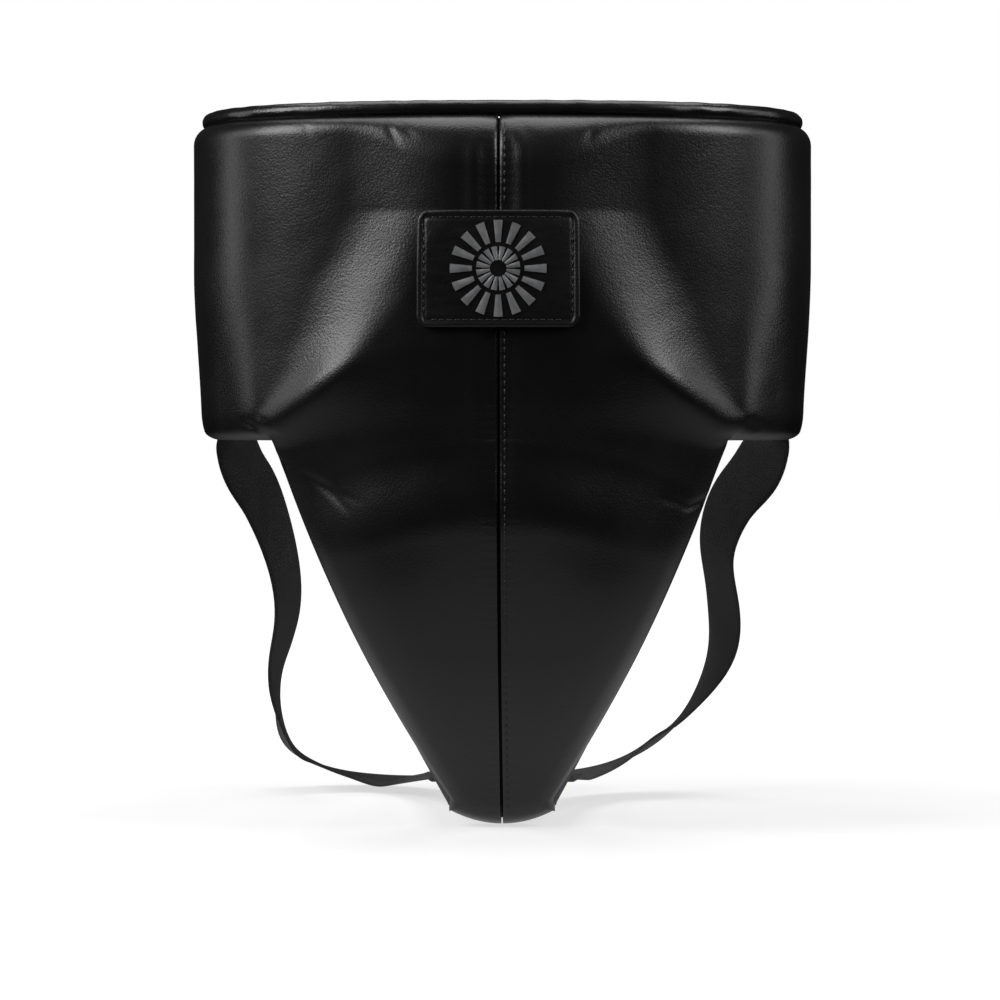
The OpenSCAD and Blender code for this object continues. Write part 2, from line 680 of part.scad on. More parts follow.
// Leather doubler on the left flap's rear end, where the belt is sewn in
module belt_root_tab() {
    steps = 3;
    color("#17181a")
    mirrored()
    layer(0, 2, 0, steps, function(r, c) true,
        function(r, c) let (a = mix(flap_end_a - 9, flap_end_a - .5, c / steps), h = mix(belt_high, belt_low, r / 2))
            wrap(a, h, full_t(along(a), h) + gap + skin_t),
        function(r, c) let (a = mix(flap_end_a - 9, flap_end_a - .5, c / steps), h = mix(belt_high, belt_low, r / 2))
            wrap(a, h, full_t(along(a), h) + gap));
}

// Loop tape sewn on the outside of the right flap's rear end
module loop_patch() {
    steps = 6;
    color("#101011")
    layer(0, 2, 0, steps, function(r, c) true,
        function(r, c) let (a = mix(flap_end_a - tab_a, flap_end_a - 3, c / steps), h = mix(belt_high, belt_low, r / 2))
            wrap(a, h, full_t(along(a), h) + gap + tape_t),
        function(r, c) let (a = mix(flap_end_a - tab_a, flap_end_a - 3, c / steps), h = mix(belt_high, belt_low, r / 2))
            wrap(a, h, full_t(along(a), h) + gap));
}

tab_start_a = belt_end_a + .3;

module hook_tab() {
    color("#17181a")
    band(tab_start_a, tab_end_a, belt_low, belt_high, function(a) tab_d, skin_t + 1, 8);
}

module hook_patch() {
    color("#0c0c0d")
    band(tab_start_a + 4, tab_end_a - 1, belt_low + 5, belt_high - 5, function(a) tab_d - tape_t - .05, tape_t, 6);
}

module tab_stitching() {
    color("#2c2d2f")
    for (h = [belt_low + 3, belt_high - 3], i = [0:9])
        band(tab_start_a + 2 + i * 2.2, tab_start_a + 3.5 + i * 2.2, h - thread_w / 2, h + thread_w / 2,
            function(a) tab_d + skin_t + 1.02, thread_t, 1);
}

left_outer_panel();
right_outer_panel();
seam_tape();
seam_stitching();
top_binding();
top_cord_core();
binding_stitching();
label_patch();
label_badge();
label_stitching();
belly_pad();
left_flap_pad();
right_flap_pad();
cup_pad();
hard_cup();
cup_rim_cushion();
front_lining();
left_flap_lining();
right_flap_lining();
strap_root_left();
strap_root_right();
root_bartacks();
leg_strap_left();
leg_strap_right();
strap_end_left();
strap_end_right();
tip_patch();
tip_stitching();
waist_elastic();
belt_root_tab();
loop_patch();
hook_tab();
hook_patch();
tab_stitching();
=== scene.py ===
import bmesh
import bpy
import numpy as np
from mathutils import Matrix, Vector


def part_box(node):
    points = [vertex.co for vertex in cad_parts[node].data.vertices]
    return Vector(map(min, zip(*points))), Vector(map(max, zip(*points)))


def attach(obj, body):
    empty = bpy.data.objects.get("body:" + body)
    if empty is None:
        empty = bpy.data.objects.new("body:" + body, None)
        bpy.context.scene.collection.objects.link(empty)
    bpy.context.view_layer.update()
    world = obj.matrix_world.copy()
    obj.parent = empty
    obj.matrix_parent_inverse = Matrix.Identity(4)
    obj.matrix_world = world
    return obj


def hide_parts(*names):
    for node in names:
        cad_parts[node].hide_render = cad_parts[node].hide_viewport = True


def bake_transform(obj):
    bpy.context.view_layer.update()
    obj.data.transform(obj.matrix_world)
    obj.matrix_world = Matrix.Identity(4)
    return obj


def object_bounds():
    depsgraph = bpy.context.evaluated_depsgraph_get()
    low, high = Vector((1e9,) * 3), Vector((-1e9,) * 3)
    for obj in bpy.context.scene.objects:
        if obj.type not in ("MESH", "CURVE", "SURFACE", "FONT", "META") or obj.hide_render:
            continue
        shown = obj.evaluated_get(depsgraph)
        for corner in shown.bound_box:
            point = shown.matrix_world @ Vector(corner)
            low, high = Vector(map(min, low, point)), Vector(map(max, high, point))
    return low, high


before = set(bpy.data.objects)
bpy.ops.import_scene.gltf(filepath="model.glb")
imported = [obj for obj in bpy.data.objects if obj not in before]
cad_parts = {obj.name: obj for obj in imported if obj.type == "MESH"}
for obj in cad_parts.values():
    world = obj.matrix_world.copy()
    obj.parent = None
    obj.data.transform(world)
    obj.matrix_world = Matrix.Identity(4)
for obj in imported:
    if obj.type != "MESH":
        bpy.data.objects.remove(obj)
cad_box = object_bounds()

# ---------------------------------------------------------------------------
# View, floor and studio light.
# The camera stands 1.8 m in front of the waist, a little below it. Two soft boxes stand left and right
# of it, two narrow ones shine along the sides and a wide one hangs overhead. The floor fades into white;
# its glow is dimmed near the piece, a painted shade round it, and to all but camera rays it is only a glow
# near the piece, painted bounce light.
# ---------------------------------------------------------------------------
CAMERA_REACH = 1.8
CAMERA_HEIGHT = -0.069
CAMERA_TURN = np.radians(1.0)

camera_data = bpy.data.cameras.new("camera")
camera_data.lens = 127.55
camera_data.sensor_width = 36.0
camera_data.shift_x = -0.0025
camera_data.shift_y = -0.08
camera = bpy.data.objects.new("camera", camera_data)
camera.location = (CAMERA_REACH * np.sin(CAMERA_TURN), -CAMERA_REACH * np.cos(CAMERA_TURN), CAMERA_HEIGHT)
camera.rotation_euler = (np.radians(90.0), 0.0, CAMERA_TURN)
bpy.context.scene.collection.objects.link(camera)
bpy.context.scene.camera = camera
bpy.context.scene.view_settings.view_transform = "Standard"


def soft_box(name, place, aim, size, watts):
    """A rectangular lamp at place, turned so that it shines towards aim."""
    data = bpy.data.lights.new(name, "AREA")
    data.shape = "RECTANGLE"
    data.size, data.size_y = size
    data.energy = watts
    lamp = bpy.data.objects.new(name, data)
    lamp.location = place
    towards = np.array(aim) - np.array(place)
    turn = np.arctan2(towards[0], -towards[1])
    tip = np.arctan2(np.hypot(towards[0], towards[1]), -towards[2])
    lamp.rotation_euler = (tip, 0.0, turn + np.pi)
    bpy.context.scene.collection.objects.link(lamp)


soft_box("box_left", (-1.15, -0.62, 0.75), (0, 0, -0.02), (0.70, 0.90), 17.0)
soft_box("box_right", (1.15, -0.62, 0.75), (0, 0, -0.02), (0.60, 0.80), 10.0)
soft_box("side_left", (-1.40, 0.05, 0.30), (0, 0, 0.0), (0.35, 0.90), 1.9)
soft_box("side_right", (1.40, 0.05, 0.30), (0, 0, 0.0), (0.35, 0.90), 1.9)
soft_box("box_top", (0.0, 0.15, 1.30), (0, 0, 0.0), (1.30, 1.00), 12.0)

def put(tree, kind, settings=None, **sockets):
    """A shader node. Each named socket (inN by its number) takes a value or another node's output."""
    node = tree.nodes.new("ShaderNode" + kind)
    for key, value in (settings or {}).items():
        setattr(node, key, value)
    for key, value in sockets.items():
        numbered = key[:2] == "in" and key[2:].isdigit()
        socket = node.inputs[int(key[2:]) if numbered else key.replace("_", " ")]
        if isinstance(value, bpy.types.NodeSocket):
            tree.links.new(value, socket)
        else:
            socket.default_value = value
    return node


world = bpy.data.worlds.new("studio")
bpy.context.scene.world = world
world.use_nodes = True
sky = world.node_tree
sky.nodes.clear()
sky_path = put(sky, "LightPath")
sky_light = put(sky, "Background", Color=(0.012, 0.012, 0.012, 1))
sky_seen = put(sky, "Background", Color=(1, 1, 1, 1))
sky_pick = put(sky, "MixShader", in0=sky_path.outputs["Is Camera Ray"], in1=sky_light.outputs[0],
               in2=sky_seen.outputs[0])
put(sky, "OutputWorld", Surface=sky_pick.outputs[0])


def mesh_piece(name, points, faces):
    """A smooth-shaded mesh object from an array of points and an array or list of faces."""
    mesh = bpy.data.meshes.new(name)
    faces = faces.tolist() if isinstance(faces, np.ndarray) else faces
    mesh.from_pydata(np.asarray(points, float).reshape(-1, 3).tolist(), [], faces)
    mesh.validate()
    mesh.shade_smooth()
    piece = bpy.data.objects.new(name, mesh)
    bpy.context.scene.collection.objects.link(piece)
    return piece


def turned_out(piece):
    """The piece with all its faces turned outward."""
    shape = bmesh.new()
    shape.from_mesh(piece.data)
    bmesh.ops.recalc_face_normals(shape, faces=shape.faces)
    shape.to_mesh(piece.data)
    shape.free()
    piece.data.shade_smooth()
    return piece


FLOOR_Z = cad_box[0][2] - 0.0008
FLOOR_HALF = 6.0
floor_corners = [(x * FLOOR_HALF, y * FLOOR_HALF, FLOOR_Z) for x, y in ((-1, -1), (1, -1), (1, 1), (-1, 1))]
floor = mesh_piece("floor", floor_corners, [(0, 1, 2, 3)])
floor_look = bpy.data.materials.new("pale_floor")
floor_look.use_nodes = True
tree = floor_look.node_tree
tree.nodes.clear()
floor_paint = put(tree, "BsdfPrincipled", Base_Color=(0.80, 0.80, 0.80, 1), Roughness=0.12,
                  Specular_IOR_Level=0.30)
floor_place = put(tree, "TexCoord")
floor_reach = put(tree, "VectorMath", {"operation": "LENGTH"}, in0=floor_place.outputs["Object"])
# painted shade: the floor's glow seen by the camera is dimmed near the piece, so the floor is greyer round it
floor_glow_with_painted_shade = put(tree, "MapRange", Value=floor_reach.outputs["Value"], From_Min=0.30, From_Max=0.90, To_Min=0.62,
                To_Max=1.0)
# painted bounce light: to every ray but the camera's the floor is only a glow near the piece, fading out by 0.75 m;
# it lights the piece from below and shows in its lower faces as a painted reflection of a lit floor
floor_bounce_fade = put(tree, "MapRange", {"interpolation_type": "SMOOTHSTEP"}, Value=floor_reach.outputs["Value"],
                 From_Min=0.10, From_Max=0.75, To_Min=0.55, To_Max=0.0)
floor_white = put(tree, "Emission", Strength=floor_glow_with_painted_shade.outputs["Result"])
floor_painted_bounce = put(tree, "Emission", Strength=floor_bounce_fade.outputs["Result"])
floor_seen = put(tree, "AddShader", in0=floor_paint.outputs[0], in1=floor_white.outputs[0])
floor_path = put(tree, "LightPath")
floor_pick = put(tree, "MixShader", in0=floor_path.outputs["Is Camera Ray"], in1=floor_painted_bounce.outputs[0],
                 in2=floor_seen.outputs[0])
put(tree, "OutputMaterial", Surface=floor_pick.outputs[0])
floor.data.materials.append(floor_look)

# ---------------------------------------------------------------------------
# Outer leather: two mirrored halves joined down the front.
# Each half is one piece of semi-gloss cowhide laid over the foam, turned in round its free edges
# and down into the centre seam.
# ---------------------------------------------------------------------------


def heights(node):
    """Lowest and highest z of a CAD node."""
    low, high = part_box(node)
    return low[2], high[2]


FLAP_LOW, FLAP_TOP = heights("right_flap_lining")  # the flaps' lower and upper edge
WAIST_A = 0.140  # half width and half depth between the linings
WAIST_B = 0.090
SQUARE = 2 / 2.5  # power that squares the waist's outline
FLAP_END = np.radians(132.0)  # where a flap ends, counted round the waist
FLAP_H = FLAP_TOP - FLAP_LOW
CUP_DROP = FLAP_LOW - heights("front_lining")[0]
NOTCH_X = 0.108  # half width of the front at the notches
TIP_X = 0.0265
SIDE_BOW = 0.0055
TIP_ARC = 0.0075
TIP_BACK = 0.085  # how far the tip lies behind the belly
LEAN_FROM = 0.020  # height at which the front starts to lean back
FLAP_T = 0.016  # thicknesses: flap, belly, fold at its side and middle, cup, free edge
BELLY_T = 0.026
FOLD_T = 0.010
FOLD_MID_T = 0.022
CUP_T = 0.034
EDGE_T = 0.0075
EDGE_MID = 0.0037  # depth at which a free edge is widest
SKIN_T = 0.0014
HOLLOW_T = 0.018


def ease(a, b, v):
    """Nought before a and one after b, with a smooth cubic step between."""
    t = np.clip((v - a) / (b - a), 0, 1)
    return t * t * (3 - 2 * t)


def bulge(e, r):
    """A quarter circle: nought at e = 0, one from e = r on."""
    t = np.clip(e / r, 0, 1)
    return np.sqrt(1 - (1 - t) ** 2)


def mix(a, b, t):
    return a + (b - a) * t


def cup_x(h):
    """Half width of the cup at a height h over the flaps' lower edge: a straight taper with a slight bow."""
    t = np.clip(-h / (CUP_DROP - TIP_ARC), 0, 1)
    return mix(NOTCH_X, TIP_X, t) + SIDE_BOW * np.sin(np.pi * t)


def lean(h):
    """How far the shell leans back below the belly, growing with a power of the drop."""
    return TIP_BACK * (np.clip(LEAN_FROM - h, 0, None) / (LEAN_FROM + CUP_DROP)) ** 1.6


def squared(v):
    """A sine or cosine turned into a place on the waist's squarish outline: a power that keeps the sign."""
    return np.sign(v) * np.abs(v) ** SQUARE


def along(a):
    """Distance round the waist, counted in x and carried on past the side."""
    return WAIST_A * np.where(a <= np.pi / 2, squared(np.sin(a)), 2 - squared(np.sin(a)))


def outward(a):
    """Outward direction of the waist's outline at an angle, as its x and y."""
    nx = np.sign(np.sin(a)) * np.abs(np.sin(a)) ** (2 - SQUARE) / WAIST_A
    ny = -np.sign(np.cos(a)) * np.abs(np.cos(a)) ** (2 - SQUARE) / WAIST_B
    size = np.hypot(nx, ny)
    return nx / size, ny / size


def belly_x(h):
    """Half width of the raised belly pad, which spreads downwards to the notches."""
    return NOTCH_X - (NOTCH_X - 0.045) * np.clip((h - 0.005) / (FLAP_H - 0.052), 0, 1) ** 0.7


def padded_t(g, h, e):
    """Thickness of the shell at distance g from the front centre, height h and distance e from a free edge."""
    soft = mix(0.012, 0.025, ease(0, FLAP_H / 2, h))
    belly = 1 - ease(0, 1, (g - belly_x(h) + soft) / (2 * soft))
    low = 1 - ease(0, FLAP_H * 0.55, h)
    upper = mix(FLAP_T - 0.004 * low * ease(NOTCH_X, NOTCH_X + 0.020, g), BELLY_T, belly)
    arch = np.minimum(1, (g / NOTCH_X) ** 2)
    drop = np.maximum(ease(0, 1, (h - 0.004 + 0.012 * arch) / (0.050 - 0.028 * arch)),
                      ease(NOTCH_X - 0.008, NOTCH_X + 0.010, g))
    hull = np.sqrt(1 - np.clip(g / cup_x(h), 0, 1) ** 2.5)
    taper = 1 - 0.72 * ease(0, 1, (-CUP_DROP * 0.54 - h) / (CUP_DROP * 0.46))
    dip = 1 - 0.12 * np.exp(-(g / 0.022) ** 2)
    cup = EDGE_T + (CUP_T - EDGE_T) * hull * taper * dip
    rise = ease(0, 1, (-0.032 * arch - h) / 0.045)
    fold = mix(FOLD_MID_T, FOLD_T, arch)
    hump = 0.0030 * np.exp(-((g - 0.046) / 0.017) ** 2 - ((h + 0.088) / 0.030) ** 2)
    dent = 0.0024 * np.exp(-((g - 0.050) / 0.030) ** 2 - ((h + 0.046) / 0.020) ** 2)
    t = fold + (upper - fold) * drop + (cup - fold) * rise + hump - dent
    top = bulge(FLAP_H - h, 0.009 + 0.017 * belly)
    return EDGE_T + (t - EDGE_T) * np.minimum(top, bulge(e, 0.013))


def hollow(g, h):
    """Depth of the hollow pressed into the lining inside the cup: an elliptical dish."""
    q = (g / 0.054) ** 2 + ((h + 0.088) / 0.072) ** 2
    return HOLLOW_T * np.clip(1 - q, 0, None) ** 1.5


def wrap(a, h, d):
    """The point d outside the lining's plain surface, at angle a round the waist and height h."""
    nx, ny = outward(a)
    x = WAIST_A * squared(np.sin(a)) + nx * d
    y = lean(h) - WAIST_B * squared(np.cos(a)) + ny * d
    return np.stack(np.broadcast_arrays(x, y, FLAP_LOW + h), -1)


def angle_of(x):
    """Angle round the waist at which the lining's plain surface has this x."""
    return np.sign(x) * np.arcsin(np.clip(np.abs(x) / WAIST_A, 0, 1) ** (1 / SQUARE))


def edge_steps(r, step, length, both=True):
    """Places from 0 to length: close together like a quarter circle within r of the ends, then step apart."""
    near = r * (1 - np.cos(np.linspace(0, np.pi / 2, 7)))
    far = (length - near[::-1]) if both else np.array([length])
    count = max(2, int(np.ceil((far[0] - near[-1]) / step)))
    return np.concatenate([near, np.linspace(near[-1], far[0], count + 1)[1:-1], far])


def run_along(path):
    """Distance from the start of a path to each of its points."""
    return np.concatenate([[0], np.cumsum(np.linalg.norm(np.diff(path, axis=0), axis=1))])


NOTCH_A = angle_of(NOTCH_X)
EDGE_R = 0.0040  # rounding of the free edges
SEAM_GAP = 0.0004  # half of the slit between the two halves


def waves(x, y, size, seed):
    """Soft uneven waves about one unit high: seven sine waves of seeded direction, size and phase, added up."""
    draw = np.random.default_rng(seed).uniform(0, 1, (3, 7))
    turn, phase, pitch = 2 * np.pi * draw[0], 2 * np.pi * draw[1], (0.7 + 0.8 * draw[2]) * 2 * np.pi / size
    total = [np.sin((x * np.cos(t) + y * np.sin(t)) * k + p) for t, p, k in zip(turn, phase, pitch)]
    return sum(total) / 3


def crease(x, h, x0, h0, x1, h1, wide, bow):
    """A groove one unit deep from one place to another: a bell across a bowed line and a sine along it."""
    run = np.hypot(x1 - x0, h1 - h0)
    t = ((x - x0) * (x1 - x0) + (h - h0) * (h1 - h0)) / run ** 2
    off = ((x - x0) * (h1 - h0) - (h - h0) * (x1 - x0)) / run - bow * np.sin(np.pi * np.clip(t, 0, 1))
    return np.exp(-(off / wide) ** 2) * np.sin(np.pi * np.clip(t, 0, 1))


# from x, height to x, height, then half width, bow and depth, all in metres
CREASES = [(-0.121, 0.012, -0.099, 0.002, 0.0014, 0.001, 0.0006),
           (-0.117, 0.006, -0.103, -0.004, 0.0011, 0.0006, 0.0005),
           (-0.112, 0.014, -0.101, 0.008, 0.001, 0.0004, 0.0004),
           (-0.107, -0.006, -0.094, -0.013, 0.0013, 0.0007, 0.0005),
           (-0.094, -0.014, -0.066, -0.036, 0.002, -0.002, 0.0008),
           (-0.083, -0.018, -0.062, -0.03, 0.0015, 0.001, 0.0004),
           (0.104, -0.002, 0.119, 0.009, 0.0014, 0.0008, 0.0006),
           (0.099, -0.006, 0.111, 0.002, 0.0011, -0.0006, 0.0004),
           (0.082, -0.034, 0.099, -0.026, 0.0018, 0.0006, 0.001),
           (0.07, -0.026, 0.09, -0.031, 0.002, 0.001, 0.0005),
           (-0.052, 0.154, -0.044, 0.14, 0.0012, 0.0006, 0.0005),
           (-0.047, 0.155, -0.037, 0.144, 0.0011, 0.0004, 0.0004),
           (0.003, 0.152, 0.008, 0.136, 0.0013, 0.0005, 0.0004),
           (0.01, 0.154, 0.017, 0.142, 0.0014, 0.0006, 0.0004),
           (0.046, 0.154, 0.04, 0.141, 0.0014, 0.0005, 0.0004),
           (-0.09, 0.154, -0.084, 0.146, 0.0013, 0.0, 0.0004)]


def relief(side, g, h):
    """Fine shape of the leather over the foam: a ridge and a valley by the seam, puckers, waves and creases."""
    x = side * g
    upper = ease(0.085, 0.110, h) * (1 - ease(0.134, 0.148, h))
    lower = ease(-0.015, 0.020, h) * (1 - ease(0.040, 0.060, h))
    ridge = np.exp(-((g - 0.0115) / 0.0032) ** 2) * (1.2 * upper + 0.6 * lower)
    valley = np.exp(-((g - 0.0060) / 0.0030) ** 2) * (upper + 0.5 * lower)
    soft = 0.00008 * waves(x, h, 0.060, 3) + 0.00002 * waves(x, h, 0.018, 8)
    puckers = 0.00016 * np.sin(h / 0.0042 * 2 * np.pi) * np.exp(-((g - 0.004) / 0.004) ** 2)
    folds = sum(depth * crease(x, h, x0, h0, x1, h1, wide, bow) for x0, h0, x1, h1, wide, bow, depth in CREASES)
    return 0.0007 * ridge - 0.0005 * valley + soft + puckers - folds


def skin_depth(side, g, h, e):
    """Depth of the leather's face: the padded thickness, rounded down at its free edges and at the seam."""
    t = padded_t(g, h, e) + relief(side, g, h)
    wide = 0.0014 + 0.0014 * ease(0.120, 0.135, h)
    sunk = (1 - bulge(g - SEAM_GAP, wide)) * 0.0016 + 0.0009 * (1 - ease(0.001, 0.009, g))
    return EDGE_MID + (t - sunk - EDGE_MID) * bulge(e, EDGE_R)


def grid_faces(rows, cols):
    """The quads of a grid of points."""
    corner = (np.arange(rows - 1)[:, None] * cols + np.arange(cols - 1)[None, :]).ravel()
    return np.stack([corner, corner + 1, corner + cols + 1, corner + cols], -1)


def merged(name, sheets, wear):
    """One mesh from several grids of points, welded where they meet, with a wear value kept at each point."""
    points, faces, start = [], [], 0
    for sheet in sheets:
        rows, cols = sheet.shape[:2]
        points.append(sheet.reshape(-1, 3))
        faces.append(start + grid_faces(rows, cols))
        start += rows * cols
    piece = mesh_piece(name, np.concatenate(points), np.concatenate(faces))
    layer = piece.data.attributes.new("wear", "FLOAT", "POINT")
    layer.data.foreach_set("value", np.concatenate([w.ravel() for w in wear]).astype(np.float32))
    shape = bmesh.new()
    shape.from_mesh(piece.data)
    bmesh.ops.remove_doubles(shape, verts=shape.verts, dist=2e-5)
    bmesh.ops.recalc_face_normals(shape, faces=shape.faces)
    if sum(f.normal.y for f in shape.faces if f.calc_center_median().y < -0.09) > 0:
        bmesh.ops.reverse_faces(shape, faces=shape.faces)
    shape.to_mesh(piece.data)
    shape.free()
    piece.data.shade_smooth()
    return piece


def leather_half(side, name):
    """One half of the outer leather as grids in angle and height: front, flap and the edges turned under."""
    up = np.concatenate([-CUP_DROP + edge_steps(EDGE_R, 0.0016, CUP_DROP, both=False),
                         edge_steps(EDGE_R, 0.0016, FLAP_H)[1:]])
    seam_in = SEAM_GAP + 0.0030 * (1 - np.cos(np.linspace(0, np.pi / 2, 8)))
    rim_out = EDGE_R * (1 - np.cos(np.linspace(0, np.pi / 2, 7)))[::-1]
    middle = np.linspace(0, 1, 66)[1:-1]
    own = np.concatenate([seam_in, np.full(len(middle) + len(rim_out), seam_in[-1])])
    share = np.concatenate([np.zeros(len(seam_in)), middle, np.ones(len(rim_out))])
    less = np.concatenate([np.zeros(len(seam_in) + len(middle)), rim_out])
    h = np.repeat(up[:, None], len(own), 1)
    half = cup_x(np.minimum(0, h))
    between = seam_in[-1] + share * (half - rim_out[0] - seam_in[-1])
    g = np.where(share == 1, half - less, np.where(share == 0, own, between))
    rise = TIP_ARC * np.clip(-h / CUP_DROP, 0, None) ** 3 * (g / half) ** 2
    e_side = np.where(h > 0, np.hypot(NOTCH_X - g, h), half - g)
    e = np.minimum(e_side, h + CUP_DROP)
    h = h + rise
    front = wrap(angle_of(g), h, skin_depth(side, g, h, e))

    turn = np.linspace(NOTCH_A, FLAP_END, 2000)
    run = run_along(wrap(turn, 0.1, 0.0))
    arc = edge_steps(EDGE_R, 0.0016, run[-1])
    a = np.interp(arc, run, turn)
    a = np.repeat(a[None, :], np.sum(up >= 0), 0)
    hf = np.repeat(up[up >= 0][:, None], a.shape[1], 1)
    gf = along(a)
    to_end = (arc[-1] - arc)[None, :] * np.ones_like(a)
    ef = np.minimum(hf, to_end)
    flap = wrap(a, hf, skin_depth(side, gf, hf, ef))

    # the turned-under edge follows the outline: tip, side, flap bottom, flap end, top
    zero = int(np.argmin(np.abs(up)))
    rim_a = np.concatenate([angle_of(g[0, :]), angle_of(g[1:zero + 1, -1]), a[0, 1:], a[1:, -1], a[-1, -2::-1],
                            angle_of(g[-1, -2::-1])])
    rim_h = np.concatenate([h[0, :], h[1:zero + 1, -1], hf[0, 1:], hf[1:, -1], hf[-1, -2::-1], h[-1, -2::-1]])
    kind = np.concatenate([np.full(len(own), 0), np.full(zero, 1), np.full(a.shape[1] - 1, 2),
                           np.full(a.shape[0] - 1, 3), np.full(a.shape[1] - 1, 4), np.full(len(own) - 1, 4)])
    in_a = np.array([0.0, -1.0, 0.0, -1.0, 0.0])[kind]
    in_h = np.array([1.0, 0.0, 1.0, 0.0, -1.0])[kind]
    tip, notch, low_corner, top_corner = [np.flatnonzero(kind == k)[-1] for k in range(4)]
    in_a[[tip, low_corner]] = -1.0
    in_h[notch] = 1.0
    in_h[top_corner] = -1.0
    start_d = np.where(kind == 4, EDGE_T, EDGE_MID)
    turn = np.linspace(0, np.pi / 2, 6)
    inward = np.concatenate([0.003 * (1 - np.cos(turn)), [0.0036, 0.0042, 0.0060, 0.0085]])
    fall = np.concatenate([np.sin(turn), [1.0, 1.0, 1.0, 1.0]])
    extra = np.concatenate([np.zeros(len(turn)), [0.0002, 0.0012, 0.0014, 0.0014]])
    radian = np.linalg.norm(wrap(rim_a + 0.001, 0.1, 0.0) - wrap(rim_a - 0.001, 0.1, 0.0), axis=-1) / 0.002
    under_a = rim_a[None, :] + in_a[None, :] * inward[:, None] / radian[None, :]
    under_h = rim_h[None, :] + in_h[None, :] * inward[:, None]
    under_d = start_d[None, :] * (1 - fall[:, None]) + extra[:, None]
    under = wrap(under_a, under_h, under_d)

    # the seam side goes straight down between the halves
    sink = np.array([0.0, 0.0008, 0.0020, 0.0034])[:, None]
    slit = wrap(np.full((4, len(up)), angle_of(SEAM_GAP)), h[:, 0][None, :],
                skin_depth(side, np.full(len(up), SEAM_GAP), h[:, 0], e[:, 0])[None, :] - sink)

    sheets = [front, flap, under, slit]
    for sheet in sheets:
        sheet[..., 0] *= side
    wear = [np.exp(-(e / 0.0022) ** 2), np.exp(-(ef / 0.0022) ** 2),
            np.repeat(np.where(fall < 1, 1.0, 0.2)[:, None], under.shape[1], 1), np.zeros(slit.shape[:2])]
    piece = merged(name, sheets, wear)
    thick = piece.modifiers.new("thickness", "SOLIDIFY")
    thick.thickness = SKIN_T
    thick.offset = -1.0
    return piece


def calc(tree, operation, *values):
    """The result of a math node on one to three values or links."""
    places = {"in" + str(k): value for k, value in enumerate(values)}
    return put(tree, "Math", {"operation": operation}, **places).outputs[0]


def effect(name, inputs, outputs):
    """An empty shader node group with named inputs and outputs, and its two end nodes."""
    tree = bpy.data.node_groups.new(name, "ShaderNodeTree")
    for label, kind in inputs:
        tree.interface.new_socket(label, in_out="INPUT", socket_type="NodeSocket" + kind)
    for label in outputs:
        tree.interface.new_socket(label, in_out="OUTPUT", socket_type="NodeSocketFloat")
    return tree, tree.nodes.new("NodeGroupInput"), tree.nodes.new("NodeGroupOutput")


# Leather grain: small pebbles with finer pores, long wrinkles, and slow changes of tone
grain, given, handed = effect(
    "leather_grain", [("Place", "Vector"), ("Pebbles", "Float"), ("Wrinkles", "Float")], ["Height", "Fold", "Tone"])
warp = put(grain, "TexNoise", Vector=given.outputs["Place"], Scale=260.0, Detail=2.0)
shift = put(grain, "VectorMath", {"operation": "SCALE"}, in0=warp.outputs["Color"], Scale=0.0012)
moved = put(grain, "VectorMath", {"operation": "ADD"}, in0=given.outputs["Place"], in1=shift.outputs[0])
pebbles = put(grain, "TexVoronoi", {"feature": "SMOOTH_F1"}, Vector=moved.outputs[0],
              Scale=given.outputs["Pebbles"], Smoothness=0.4)
pores = put(grain, "TexNoise", Vector=given.outputs["Place"], Scale=2600.0, Detail=3.0)
folds = put(grain, "TexNoise", Vector=moved.outputs[0], Scale=given.outputs["Wrinkles"], Detail=5.0,
            Roughness=0.55, Distortion=0.6)
creased = calc(grain, "ABSOLUTE", calc(grain, "SUBTRACT", folds.outputs["Fac"], 0.5))
fold_line = put(grain, "MapRange", {"interpolation_type": "SMOOTHSTEP"}, Value=creased, From_Min=0.0,
                From_Max=0.045, To_Min=0.0, To_Max=1.0)
pebble_up = calc(grain, "MULTIPLY", pebbles.outputs["Distance"], -0.9)
pore_up = calc(grain, "MULTIPLY_ADD", pores.outputs["Fac"], 0.35, pebble_up)
tone = put(grain, "TexNoise", Vector=given.outputs["Place"], Scale=22.0, Detail=4.0)
grain.links.new(pore_up, handed.inputs["Height"])
grain.links.new(fold_line.outputs[0], handed.inputs["Fold"])
grain.links.new(tone.outputs["Fac"], handed.inputs["Tone"])


def blank_look(name):
    """A new material, with its node tree, its shader and its coordinates."""
    look = bpy.data.materials.new(name)
    look.use_nodes = True
    tree = look.node_tree
    return look, tree, tree.nodes["Principled BSDF"], put(tree, "TexCoord")


def blended(tree, factor, dark, light):
    """A colour between two others, which are values or links."""
    node = put(tree, "Mix", {"data_type": "RGBA"}, Factor=factor, in6=dark, in7=light)
    return node.outputs[2]


